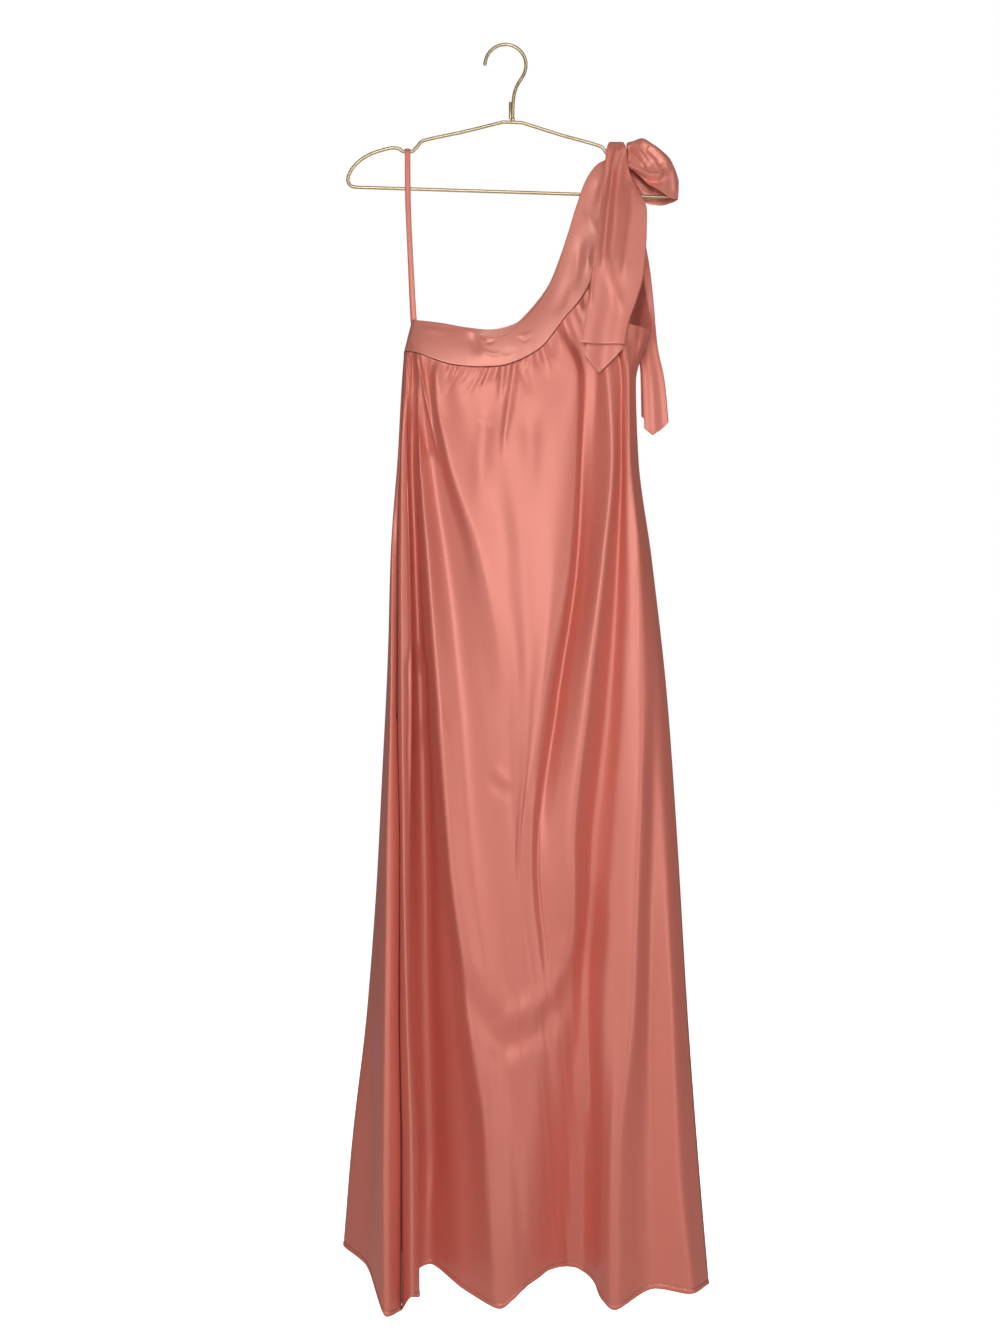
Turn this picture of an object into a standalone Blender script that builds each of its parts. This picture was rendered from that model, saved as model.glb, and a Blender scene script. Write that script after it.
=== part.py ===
"""Long one-shoulder satin dress with a tied shoulder, hanging on a bent wire hanger.

The origin is the inner top of the hook, where a rod holds it. +Z is up, the front of the dress
faces -Y, and the tied shoulder is on the +X side. The tables are in millimetres.
"""

import math
from collections import namedtuple

import bmesh
import bpy
import numpy as np

MM = 0.001

# Cloth and wire
CLOTH = 1.2  # wall of a panel
BAND = 1.6  # the bands are doubled
TIE = 1.6
RIBBON = 1.0
SEAM_GAP = 0.3
TOP_GAP = 0.6  # from a band down to the gathers under it
WIRE = 4.4  # wire diameter of the hanger

# Hanger: the hook's circle, the foot of its shank, and the frame, whose own sizes are told from
# its apex before it tilts towards the tied shoulder
HOOK_RADIUS = 26.2
HOOK_START = 181.0  # degrees round the circle, at the hook's tip
HOOK_END = -8.0
HOOK_NECK = ((24.6, -33), (21.5, -39.5), (17.4, -45.8), (13.8, -52.8), (11.2, -61), (10, -70),
             (9.4, -80), (9.2, -92.6))
STUB_PLACE = (6.4, 3.6, -92.4)
STUB_LENGTH = 22.0
APEX = (9.0, -94.4)
TILT = 1.8
HALF_FRAME = ((12, -3), (60, -16.5), (116, -31.5), (121, -38), (127, -44), (133, -45.5),
              (139, -44.5), (145, -41), (152, -40.5), (175, -47), (193, -57.5), (204.5, -71),
              (208.3, -82), (205.5, -89.5), (196, -92.3), (100, -92.3))

# Heights at which each fold's place is written
LEVELS = (-430, -525, -655, -835, -1035, -1225, -1420)

# A fold line runs down the cloth. top is its place along the panel's upper edge, x and y are its
# places at each level (front is negative), hem is its end, and pleats is the number of gathers
# between it and the next line
Fold = namedtuple("Fold", "name top x y hem pleats")

FRONT_FOLDS = (
    Fold("side seam", 0.0, (-131, -134, -137, -137, -133, -133, -130),
         (-7, -11, -18, -30, -42, -50, -57), (-130, -60, -1599), 1),
    Fold("lobe ridge", 0.35, (-129, -132, -132, -130, -128, -123, -117),
         (-12, -17, -29, -44, -58, -70, -80), (-116, -84, -1575), 1),
    Fold("lobe edge", 0.7, (-126, -125, -121, -118, -120, -117, -108),
         (-15, -17, -24, -36, -48, -56, -62), (-107, -64, -1580), 1),
    Fold("lobe under", 1.0, (-123, -124, -124, -125, -125, -122, -116),
         (-15, -11, -12, -16, -20, -23, -26), (-115, -27, -1565), 1),
    Fold("deep valley", 1.3, (-120, -120, -116, -110, -107, -104, -99),
         (-14, -8, -6, -6, -6, -6, -6), (-96, -6, -1557), 1),
    Fold("left wall", 1.65, (-116, -115, -108, -97, -83, -68, -50),
         (-17, -13, -16, -21, -27, -32, -38), (-52, -42, -1579), 1),
    Fold("left ridge", 2.0, (-111, -109, -98, -84, -68, -44, -17),
         (-22, -23, -32, -44, -54, -64, -73), (-8, -80, -1591), 1),
    Fold("left hollow", 2.4, (-105, -96, -77, -56, -40, -17, 2),
         (-21, -16, -21, -36, -48, -59, -69), (8, -73, -1583), 1),
    Fold("corner foot", 2.8, (-98, -85, -55, -27, -16, 0, 14),
         (-23, -19, -27, -42, -51, -58, -63), (20, -64, -1574), 1),
    Fold("corner fold", 3.3, (-88, -73, -31, -1, 3, 13, 23),
         (-31, -35, -39, -47, -55, -60, -60), (31, -54, -1568), 2),
    Fold("front left", 4.5, (-52, -35, -5, 14, 12, 23, 32),
         (-27, -32, -39, -49, -57, -61, -56), (42, -42, -1564), 2),
    Fold("front middle", 6.2, (-4, 3, 21, 28, 17, 32, 43),
         (-29, -35, -43, -52, -60, -61, -48), (55, -26, -1559), 2),
    Fold("cowl ridge", 9.0, (66, 57, 55, 43, 20, 41, 56),
         (-31, -39, -46, -55, -61, -58, -36), (67, -14, -1559), 1),
    Fold("cowl edge", 10.2, (91, 90, 82, 55, 31, 49, 64),
         (-32, -36, -41, -49, -58, -54, -28), (73, -8, -1560), 1),
    Fold("cowl valley", 10.8, (101, 97, 91, 66, 42, 60, 73),
         (-17, -17, -19, -30, -46, -48, -20), (81, -4, -1561), 1),
    Fold("cowl floor", 11.5, (114, 110, 103, 81, 61, 71, 83),
         (-18, -20, -26, -42, -52, -44, -14), (90, -5, -1562), 1),
    Fold("bust ridge", 12.3, (130, 135, 124, 102, 83, 84, 96),
         (-27, -33, -41, -51, -56, -36, -12), (99, -9, -1566), 1),
    Fold("bust valley", 13.0, (147, 147, 142, 131, 111, 102, 110),
         (-20, -18, -19, -21, -24, -22, -24), (111, -30, -1572), 1),
    Fold("ridge foot", 14.2, (152, 153, 154, 150, 137, 125, 122),
         (-24, -25, -28, -34, -40, -46, -56), (120, -62, -1585), 1),
    Fold("right ridge", 15.5, (157, 158, 168, 170, 164, 157, 138),
         (-25, -26, -30, -37, -46, -56, -68), (136, -76, -1594), 1),
    Fold("right dip", 16.5, (161, 163, 177, 188, 185, 184, 185),
         (-17, -16, -20, -25, -30, -33, -37), (188, -40, -1578), 1),
    Fold("right swell", 17.2, (165, 167, 181, 198, 203, 208, 215),
         (-9, -9, -12, -16, -24, -33, -42), (231, -50, -1582), 1),
    Fold("right seam", 18.0, (167, 170, 187, 207, 221, 232, 246),
         (-1, -1, -1, -1, -2, -5, -9), (259, -14, -1580), 1),
)
BACK_FOLDS = (
    Fold("right turn", 1.2, (164, 165, 181, 201, 214, 225, 236),
         (10, 11, 12, 13, 14, 16, 18), (248, 20, -1575), 1),
    Fold("right back ridge", 2.6, (154, 153, 166, 178, 187, 194, 200),
         (20, 22, 26, 31, 38, 46, 54), (206, 60, -1570), 2),
    Fold("right back dip", 4.0, (140, 136, 144, 151, 156, 160, 165),
         (17, 16, 19, 22, 27, 31, 33), (168, 36, -1564), 1),
    Fold("shoulder ridge", 5.2, (124, 118, 122, 123, 124, 126, 128),
         (22, 26, 34, 45, 58, 70, 82), (129, 90, -1572), 2),
    Fold("shoulder dip", 6.8, (104, 99, 100, 95, 90, 85, 80),
         (19, 18, 20, 22, 24, 27, 30), (78, 32, -1561), 2),
    Fold("right middle ridge", 8.0, (82, 78, 77, 72, 64, 56, 48),
         (27, 30, 35, 41, 48, 56, 64), (44, 70, -1569), 2),
    Fold("right middle dip", 8.7, (58, 54, 51, 48, 40, 31, 22),
         (23, 20, 25, 31, 38, 44, 49), (18, 53, -1565), 2),
    Fold("middle ridge", 9.6, (30, 27, 24, 18, 7, -4, -15),
         (29, 32, 41, 53, 66, 79, 92), (-21, 101, -1572), 2),
    Fold("middle dip", 10.4, (2, 0, -5, -14, -27, -40, -52),
         (24, 22, 23, 25, 27, 30, 33), (-60, 35, -1559), 2),
    Fold("left middle ridge", 11.2, (-26, -29, -35, -44, -58, -70, -82),
         (28, 31, 36, 42, 49, 56, 62), (-91, 68, -1567), 2),
    Fold("left middle dip", 12.0, (-55, -58, -65, -72, -82, -93, -104),
         (23, 20, 22, 27, 33, 39, 43), (-112, 45, -1561), 2),
    Fold("left back ridge", 12.8, (-82, -86, -93, -100, -110, -122, -134),
         (25, 28, 35, 45, 56, 67, 79), (-142, 86, -1568), 2),
    Fold("left back dip", 13.5, (-106, -110, -117, -126, -138, -152, -165),
         (17, 16, 17, 19, 22, 24, 28), (-172, 30, -1554), 1),
    Fold("left back", 14.3, (-124, -128, -136, -144, -158, -170, -188),
         (13, 15, 17, 20, 26, 32, 38), (-198, 44, -1549), 1),
    Fold("left turn", 15.0, (-131, -137, -146, -153, -163, -177, -199),
         (5, 6, 4, 3, 4, 8, 13), (-209, 18, -1540), 1),
    Fold("left groove", 15.5, (-132.5, -138, -147, -151, -160, -168, -171),
         (1, -2, -5, -9, -13, -18, -24), (-177, -30, -1551), 1),
    Fold("left lobe", 15.8, (-132.5, -137, -144, -145, -148, -149, -150),
         (-3, -7, -20, -36, -52, -64, -76), (-148, -86, -1599), 1),
)

# Stations along the front band from the side seam to the shoulder: lower edge, then neck edge.
# The seam to the panel ends at station FRONT_CORNER, and the strap runs on alone over the wire
FRONT_CORNER = 13
FRONT_BAND = (
    ((-130, -3, -391), (-120, -1.5, -350)), ((-126, -14, -392), (-115, -8, -351.5)),
    ((-110, -24, -396), (-101, -12, -354)), ((-90, -27, -404), (-83, -15, -357)),
    ((-65, -28, -411), (-53, -20, -364)), ((-34, -29, -414), (-32, -25, -373)),
    ((-8, -29, -413), (-17, -27, -377)), ((11, -29, -408), (-2, -27, -374)),
    ((30, -28, -399), (14, -24, -362)), ((46, -27, -388), (30, -20, -347)),
    ((61, -26, -370), (46, -17, -326)), ((77, -24, -348), (55, -15, -310)),
    ((93, -22, -330), (67, -14, -284)), ((109, -20, -302), (77, -12, -250)),
    ((124, -17, -252), (90, -11, -207)), ((134, -15, -207), (103, -10, -172)),
    ((143, -12, -172), (117, -9, -153)), ((149, -8, -149), (129, -8, -146)),
    ((149.5, -6.6, -142), (132.5, -6.6, -141)), ((149.5, -3.6, -138), (134.5, -3.6, -138)),
    ((149.5, -1.2, -137), (134.5, -1.2, -137)),
)
# The front panel's upper edge past the band: the armhole, down to the side seam
FRONT_ARMHOLE = ((109, -20, -302), (119, -24, -319), (136, -28, -341), (155, -26, -357),
                 (174, -16, -361), (188, -1, -362))

# The back panel's upper edge from the right side seam: the armhole up to the strap, then the band
BACK_CORNER = 4
BACK_SHOULDER = 12  # the band's station where its seam meets the armhole
BACK_ARMHOLE = ((188, -1, -362), (181, 12, -312), (174, 18, -267), (162, 15, -222),
                (146, 10, -180))
BACK_BAND = (
    ((-130, -3, -391), (-120, -1.5, -350)), ((-127.5, 8, -388), (-117, 5, -349)),
    ((-116, 19, -385), (-107, 12, -349)), ((-92, 25, -386), (-82, 18, -351)),
    ((-54, 28, -392), (-54, 24, -355)), ((-21, 28, -396), (-21, 27, -358)),
    ((12, 28, -391), (11, 25, -351)), ((46, 27, -372), (30, 21, -335)),
    ((78, 24, -337), (56, 16, -301)), ((107, 20, -298), (70, 13, -267)),
    ((122, 17, -258), (82, 12, -231)), ((132, 14, -220), (96, 11, -190)),
    ((146, 10, -180), (112, 9.5, -158)), ((149, 8, -149), (129, 8, -146)),
    ((149.5, 6.6, -142), (132.5, 6.6, -141)), ((149.5, 3.6, -138), (134.5, 3.6, -138)),
    ((149.5, 1.2, -137), (134.5, 1.2, -137)),
)

# The ties: height, left edge, right edge and depth of the outer layer at each section
Section = namedtuple("Section", "z left right y")
FRONT_TAIL = (
    Section(-122.6, 131, 152, -1.0), Section(-125, 130, 152.5, -8), Section(-133, 128.5, 153, -13.5),
    Section(-148, 127, 154, -16.5), Section(-169, 126, 158, -19), Section(-189, 123, 167, -22),
    Section(-215, 120, 178, -27), Section(-254, 114, 177, -32), Section(-300, 108, 173, -37),
    Section(-332, 104, 164, -39), Section(-360, 100, 154, -40.5), Section(-386, 95, 149, -42),
)
BACK_TAIL = (
    Section(-122.6, 131, 152, 1.0), Section(-125, 130, 152.5, 8), Section(-133, 129, 153, 13.5),
    Section(-148, 128, 153.5, 17), Section(-185, 130, 158, 27), Section(-229, 138, 176, 36),
    Section(-275, 146, 186, 40), Section(-318, 156, 191, 41), Section(-377, 171, 196, 38),
    Section(-423, 175, 205, 34), Section(-474, 176, 210, 33),
)
LAYER_GAPS = (4.4, 6.4)  # between the outer sides of a tail's two layers, at its top and its end
# How far each layer's end hangs below the last section, from the tail's free edge, round its
# fold, to the free edge of the under layer
FRONT_TAIL_END = (-1, 1, 1, 1, 2, 20, 37, 14)
BACK_TAIL_END = (-4, 2, 3, 1, 3, 14, 21, 12)
FRONT_TAIL_RIPPLE = 2.6
BACK_TAIL_RIPPLE = 2.2

# The bow's loop, a hood over the hanger's end: its ridge, front edge and back edge
Hood = namedtuple("Hood", "ridge front back")
BOW = (
    Hood((155, 0, -124), (156, -15, -157), (157, 14, -158)),
    Hood((164, -2, -122), (168, -20, -169), (168, 18, -176)),
    Hood((174, -3, -119), (180, -23, -180), (180, 20, -196)),
    Hood((187, -3, -126), (191, -22, -187), (192, 20, -199)),
    Hood((199, -2, -134), (201, -18, -192), (203, 17, -200)),
    Hood((210, -1, -144), (209, -12, -196), (210, 12, -199)),
    Hood((218, 0, -160), (216, -7, -197), (216, 7, -198)),
    Hood((222, 0, -173), (221, -2.4, -195), (221, 2.4, -196)),
)
KNOT_CENTRE = (141.5, 0.0, -132.3)
KNOT_HALF = (11.0, 6.0, 3.7)

# The ribbon loop at the side seam, over the hanger's other notch
RIBBON_WIDTH = 7.0
RIBBON_PATH = (
    (-117, -5.6, -349.6), (-121.5, -4.6, -270), (-125, -3.8, -190), (-125.4, -3.7, -140),
    (-125.4, -3.2, -133.6), (-125.4, -1.7, -131.7), (-125.4, 0, -131.1), (-125.4, 1.7, -131.7),
    (-125.4, 3.2, -133.6), (-125.4, 3.7, -140), (-125, 3.8, -190), (-122, 4.6, -270),
    (-118.5, 5.6, -347.6),
)

# The closed zip in the left side seam: its ends, half the width of its slot, and its lips
ZIP_TOP = -400.0
ZIP_END = -860.0
ZIP_HALF = 1.9
LIP_REACH = 1.2
LIP_DEPTH = 1.2

# How the walls are divided
ROWS = 21
EASED_COLUMNS = 4
LEAST_SLANT = 0.3
BAND_ROWS = 3
TAIL_COLUMNS = 15
TAIL_OUTER = 8  # columns in a tail's outer layer
TAIL_WAVES = 1.5  # ripples across a tail
UNDER_WIDTH = 0.9  # of the layer under it, against the outer one
BOW_ROWS = 12
BOW_COLUMNS = 14
RIBBON_ROWS = 24
FRAME_POINTS = 36
HOOK_POINTS = 22
KNOT_SEGMENTS = 14
KNOT_RINGS = 8
STUB_SIDES = 10
HOOD_ARCH = 0.9  # how round the bow's loop is over its ridge, and how full at its sides
HOOD_SPREAD = 0.8
EDGE_FADE = 6  # how soon a panel leaves its seam's line for its folds'
SEAM_SPARE = 0.05  # the side seams' extra room
BAND_FULLNESS = 1.5
BAND_END = 1.3  # from the side seam to a band's end
ROW_BIAS = 1.45  # rows lie closer together at the gathers
GATHER_DEPTH = 1.8
GATHER_START = 10.0
GATHER_LENGTH = 55.0

COLOURS = {
    "satin": ((0.62, 0.22, 0.17, 1), 0.38, 0.0),
    "band satin": ((0.60, 0.21, 0.165, 1), 0.36, 0.0),
    "tie satin": ((0.64, 0.235, 0.18, 1), 0.38, 0.0),
    "ribbon": ((0.58, 0.20, 0.16, 1), 0.35, 0.0),
    "zip tape": ((0.45, 0.14, 0.11, 1), 0.6, 0.0),
    "champagne metal": ((0.66, 0.53, 0.36, 1), 0.3, 1.0),
}


def clearScene():
    for item in list(bpy.data.objects):
        bpy.data.objects.remove(item, do_unlink=True)


def makeCollection(name):
    group = bpy.data.collections.new(name)
    bpy.context.scene.collection.children.link(group)
    return group


def makeMaterial(name):
    colour, roughness, metallic = COLOURS[name]
    material = bpy.data.materials.new(name)
    material.use_nodes = True
    shader = material.node_tree.nodes["Principled BSDF"]
    shader.inputs["Base Color"].default_value = colour
    shader.inputs["Roughness"].default_value = roughness
    shader.inputs["Metallic"].default_value = metallic
    return material


def slopes(knots, values):
    """Slopes of a smooth curve that never swings past its own knots."""
    step = np.diff(knots)[:, None]
    rise = np.diff(values, axis=0) / step
    before, after = rise[:-1], rise[1:]
    first, second = step[:-1], step[1:]
    weight = (first + 2 * second) * before + (2 * first + second) * after
    same = before * after > 0
    inner = np.where(same, 3 * (first + second) * before * after / np.where(same, weight, 1), 0)
    return np.vstack([rise[:1], inner, rise[-1:]])


def glide(knots, values, places):
    """Points of the smooth curve through the values at the knots, read at the places."""
    knots = np.asarray(knots, float)
    values = np.asarray(values, float)
    tangents = slopes(knots, values)
    span = np.clip(np.searchsorted(knots, places, side="right") - 1, 0, len(knots) - 2)
    width = (knots[span + 1] - knots[span])[:, None]
    t = (places[:, None] - knots[span][:, None]) / width
    return (values[span] * (1 + 2 * t) * (1 - t) ** 2 + tangents[span] * width * t * (1 - t) ** 2
            + values[span + 1] * t * t * (3 - 2 * t) - tangents[span + 1] * width * t * t * (1 - t))


def curveAt(points, places):
    """A smooth curve through points that stand at 0, 1, 2 and so on."""
    return glide(np.arange(len(points)), points, np.asarray(places, float))


def addSheet(name, places, wall, material, group):
    """A wall of cloth: a grid whose points stand at the places, in mm, made solid inwards."""
    down, across = places.shape[0] - 1, places.shape[1] - 1
    bm = bmesh.new()
    bmesh.ops.create_grid(bm, x_segments=across, y_segments=down, size=0.5)
    for vert in bm.verts:
        column = round((vert.co.x + 0.5) * across)
        row = round((0.5 - vert.co.y) * down)
        vert.co = places[row, column] * MM
    mesh = bpy.data.meshes.new(name)
    bm.to_mesh(mesh)
    bm.free()
    mesh.shade_smooth()
    mesh.materials.append(material)
    sheet = bpy.data.objects.new(name, mesh)
    group.objects.link(sheet)
    solid = sheet.modifiers.new("Wall", "SOLIDIFY")
    solid.thickness = wall * MM
    solid.offset = -1
    return sheet


def columnStations(folds):
    """Fold places of the columns, two for each gather, from the first fold line to the last."""
    stations = [0.0]
    for index, fold in enumerate(folds[:-1]):
        steps = 2 * fold.pleats
        stations += [index + step / steps for step in range(1, steps + 1)]
    return np.array(stations)


def foldLines(folds, drops, edge):
    """Points of every fold line at the shares of its own length that drops gives."""
    lines = []
    for fold in folds:
        top = edge(np.array([fold.top]))[0]
        heights = [top[2], *LEVELS, fold.hem[2]]
        across = [top[0], *fold.x, fold.hem[0]]
        forward = [top[1], *fold.y, fold.hem[1]]
        z = top[2] + (fold.hem[2] - top[2]) * drops
        xy = glide(-np.array(heights), np.column_stack([across, forward]), -z)
        lines.append(np.column_stack([xy, z]))
    return np.array(lines)


def drape(folds, edge):
    """The panel's points by row and column, hung from its upper edge and gathered under it."""
    stations = columnStations(folds)
    drops = (np.arange(ROWS + 1) / ROWS) ** ROW_BIAS
    lines = foldLines(folds, drops, edge)
    knots = np.arange(len(folds))
    tops = np.interp(stations, knots, [fold.top for fold in folds])
    seam = edge(tops)
    sheet = np.array([glide(knots, lines[:, row], stations) for row in range(ROWS + 1)])
    slip = seam - sheet[0]
    sheet += slip[None] * ((1 - drops) ** EDGE_FADE)[:, None, None]
    between = np.arange(len(stations)) % 2
    fall = seam[:, 2][None] - sheet[:, :, 2]
    depth = GATHER_DEPTH * (1 - np.exp(-fall / GATHER_START)) * np.exp(-fall / GATHER_LENGTH)
    sheet[:, :, 1] += np.sign(seam[:, 1])[None] * -depth * between[None]
    return sheet


def frontEdge(places):
    """Upper edge of the front panel: the band's lower edge, then the armhole."""
    onBand = curveAt([row[0] for row in FRONT_BAND], np.clip(places, 0, FRONT_CORNER))
    onArm = curveAt(FRONT_ARMHOLE, np.clip(places - FRONT_CORNER, 0, len(FRONT_ARMHOLE) - 1))
    return np.where((places <= FRONT_CORNER)[:, None], onBand, onArm)


def backEdge(places):
    """Upper edge of the back panel from the right seam: the armhole, then the band leftwards."""
    onArm = curveAt(BACK_ARMHOLE, np.clip(places, 0, BACK_CORNER))
    bandPlaces = np.clip(BACK_SHOULDER + BACK_CORNER - places, 0, BACK_SHOULDER)
    onBand = curveAt([row[0] for row in BACK_BAND], bandPlaces)
    return np.where((places <= BACK_CORNER)[:, None], onArm, onBand)


def unit(vectors):
    return vectors / np.linalg.norm(vectors, axis=-1, keepdims=True)


def backFolds():
    """The back's fold lines with the side seams that it shares with the front."""
    last = BACK_SHOULDER + BACK_CORNER
    return (FRONT_FOLDS[-1]._replace(top=0.0), *BACK_FOLDS, FRONT_FOLDS[0]._replace(top=last))


def drawBack(sheet, amounts):
    """Draws a panel's first column back by the amounts, easing the columns beside it along."""
    for row, amount in zip(sheet, amounts):
        strip = row[:EASED_COLUMNS + 1].copy()
        lengths = np.concatenate([[0], np.cumsum(np.linalg.norm(np.diff(strip, axis=0), axis=1))])
        places = amount + lengths * (1 - amount / lengths[-1])
        for axis in range(3):
            row[:EASED_COLUMNS + 1, axis] = np.interp(places, lengths, strip[:, axis])


def cutSeam(one, other, gaps):
    """Draws two panels' edges back from their seam, far enough that their walls stay apart."""
    seam = one[:, 0].copy()
    inOne = unit(one[:, 1] - seam)
    inOther = unit(other[:, 1] - seam)
    along = unit(np.gradient(seam, axis=0))
    slantOne = np.linalg.norm(np.cross(inOne, along), axis=1)
    slantOther = np.linalg.norm(np.cross(inOther, along), axis=1)
    inOne = unit(inOne - (inOne * along).sum(axis=1, keepdims=True) * along)
    inOther = unit(inOther - (inOther * along).sum(axis=1, keepdims=True) * along)
    bend = np.pi - np.arccos(np.clip((inOne * inOther).sum(axis=1), -1, 1))
    amounts = gaps + CLOTH * np.tan(bend / 2)
    drawBack(one, amounts / np.maximum(slantOne, LEAST_SLANT))
    drawBack(other, amounts / np.maximum(slantOther, LEAST_SLANT))
    return seam, inOne, inOther


def dropTop(sheet):
    """Lowers a panel's upper edge, square to the seam, to leave the gap under the band."""
    along = unit(np.gradient(sheet[0], axis=0))
    down = sheet[1] - sheet[0]
    down = unit(down - (down * along).sum(axis=1, keepdims=True) * along)
    sheet[0] += down * TOP_GAP


def addPanels(satin, tape, group):
    """The front and back panels and the zip between them."""
    front = drape(FRONT_FOLDS, frontEdge)
    back = drape(backFolds(), backEdge)
    zipRows = (front[:, 0, 2] > ZIP_END) & (front[:, 0, 2] < ZIP_TOP)
    halfGap = SEAM_GAP / 2 + SEAM_SPARE
    cutSeam(front[:, ::-1], back, np.full(len(front), halfGap))
    gaps = np.where(zipRows, ZIP_HALF + SEAM_GAP, halfGap)
    seam, inFront, inBack = cutSeam(front, back[:, ::-1], gaps)
    dropTop(front)
    dropTop(back)
    addSheet("front_panel", front, CLOTH, satin, group)
    addSheet("back_panel", back, CLOTH, satin, group)
    rows = np.flatnonzero(zipRows)
    inward = np.cross(inFront - inBack, np.gradient(seam, axis=0))[rows]
    lips = np.stack([seam[rows] + inBack[rows] * LIP_REACH, seam[rows] + unit(inward) * LIP_DEPTH,
                     seam[rows] + inFront[rows] * LIP_REACH], axis=1)
    addSheet("side_zip", lips, CLOTH, tape, group)


def seamStations(folds, corner):
    """Band stations of the panel's columns, as far as the corner where the seam ends."""
    tops = np.interp(columnStations(folds), np.arange(len(folds)), [fold.top for fold in folds])
    return tops[tops <= corner + 1e-6]


def addBand(name, table, places, side, material, group):
    """A band of doubled cloth between its lower and neck edges, a little full across."""
    strap = np.arange(places[-1] + 0.5, len(table) - 0.99, 0.5)
    places = np.concatenate([places, strap])
    lower = curveAt([row[0] for row in table], places)
    neck = curveAt([row[1] for row in table], places)
    shares = np.linspace(0, 1, BAND_ROWS + 1)[:, None, None]
    sheet = neck[None] * (1 - shares) + lower[None] * shares
    ends = np.clip(np.minimum(places, len(table) - 1 - places) / 2, 0, 1)
    sheet[:, :, 1] += side * BAND_FULLNESS * np.sin(np.pi * shares[:, :, 0]) * ends[None]
    drawBack(sheet, np.full(len(sheet), BAND_END))
    addSheet(name, sheet[:, ::-side], BAND, material, group)


def addTail(name, sections, end, ripple, side, material, group):
    """A tie's hanging end: an outer layer, a fold down its right edge and a layer under it."""
    heights, left, right, depth = np.array(sections, float).T
    path = np.gradient(np.stack([depth, heights], axis=1), axis=0)
    path[0, 1] = 0
    inward = unit(path)[:, ::-1] * (side, -side)
    fall = np.linspace(0, 1, len(sections))[:, None]
    across = np.linspace(0, 1, TAIL_COLUMNS + 1)[None]
    fold, turn = np.array([TAIL_OUTER, TAIL_OUTER + 1]) / TAIL_COLUMNS
    under = np.clip((across - turn) / (1 - turn), 0, 1)
    share = np.where(across <= fold, across / fold, 1 - under * UNDER_WIDTH)
    gap = (LAYER_GAPS[0] + (LAYER_GAPS[1] - LAYER_GAPS[0]) * fall) * (across > fold)
    wave = ripple * np.sin(share * math.tau * TAIL_WAVES) * np.sin(fall * math.pi / 2)
    ends = np.interp(across[0], np.linspace(0, 1, len(end)), end)[None]
    x = left[:, None] + (right - left)[:, None] * share
    y = depth[:, None] + side * wave + inward[:, :1] * gap
    z = heights[:, None] + inward[:, 1:] * gap - fall ** EDGE_FADE * ends
    sheet = np.stack([x, y, z], axis=2)
    addSheet(name, sheet[:, ::-side], TIE, material, group)


def addBow(material, group):
    """The bow's loop, a hood from the knot out over the hanger's end."""
    places = np.linspace(0, len(BOW) - 1, BOW_ROWS + 1)
    ridge, front, back = (curveAt([getattr(hood, part) for hood in BOW], places)
                          for part in ("ridge", "front", "back"))
    turns = np.linspace(0, math.pi, BOW_COLUMNS + 1)[:, None, None]
    edge = np.where(turns < math.pi / 2, front[None], back[None])
    arch = np.sin(turns) ** HOOD_ARCH
    spread = np.abs(np.cos(turns)) ** HOOD_SPREAD
    sheet = np.empty((BOW_COLUMNS + 1, BOW_ROWS + 1, 3))
    sheet[:, :, 0] = edge[:, :, 0] + (ridge[None, :, 0] - edge[:, :, 0]) * arch[:, :, 0]
    sheet[:, :, 1] = ridge[None, :, 1] + (edge[:, :, 1] - ridge[None, :, 1]) * spread[:, :, 0]
    sheet[:, :, 2] = edge[:, :, 2] + (ridge[None, :, 2] - edge[:, :, 2]) * arch[:, :, 0]
    addSheet("tie_bow_loop", sheet[::-1], TIE, material, group)


def addKnot(material, group):
    bpy.ops.mesh.primitive_uv_sphere_add(segments=KNOT_SEGMENTS, ring_count=KNOT_RINGS, radius=1)
    knot = bpy.context.object
    knot.name = knot.data.name = "tie_knot"
    for vert in knot.data.vertices:
        vert.co = [(centre + half * along) * MM
                   for centre, half, along in zip(KNOT_CENTRE, KNOT_HALF, vert.co)]
    finish(knot, material, group)


def addRibbon(material, group):
    """The ribbon at the side seam: up in front of the wire, over it and down behind."""
    path = np.array(RIBBON_PATH, float)
    places = np.linspace(0, len(path) - 1, RIBBON_ROWS + 1)
    middle = curveAt(path, places)
    edges = [middle + np.array([RIBBON_WIDTH * share, 0, 0]) for share in (-0.5, 0, 0.5)]
    addSheet("hanger_loop", np.stack(edges, axis=1)[::-1], RIBBON, material, group)


def finish(item, material, group):
    """Moves a primitive to the object's own collection and gives it its material."""
    for other in item.users_collection:
        other.objects.unlink(item)
    group.objects.link(item)
    item.data.materials.clear()
    item.data.materials.append(material)
    item.data.shade_smooth()


def addWire(name, points, closed, material, group):
    """Round wire along points given in mm as X and Z."""
    curve = bpy.data.curves.new(name, "CURVE")
    curve.dimensions = "3D"
    curve.bevel_depth = WIRE / 2 * MM
    curve.bevel_resolution = 2
    curve.use_fill_caps = not closed
    spline = curve.splines.new("POLY")
    spline.points.add(len(points) - 1)
    for point, (x, z) in zip(spline.points, points):
        point.co = (x * MM, 0, z * MM, 1)
    spline.use_cyclic_u = closed
    wire = bpy.data.objects.new(name, curve)
    group.objects.link(wire)
    wire.data.materials.append(material)
    return wire


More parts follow.
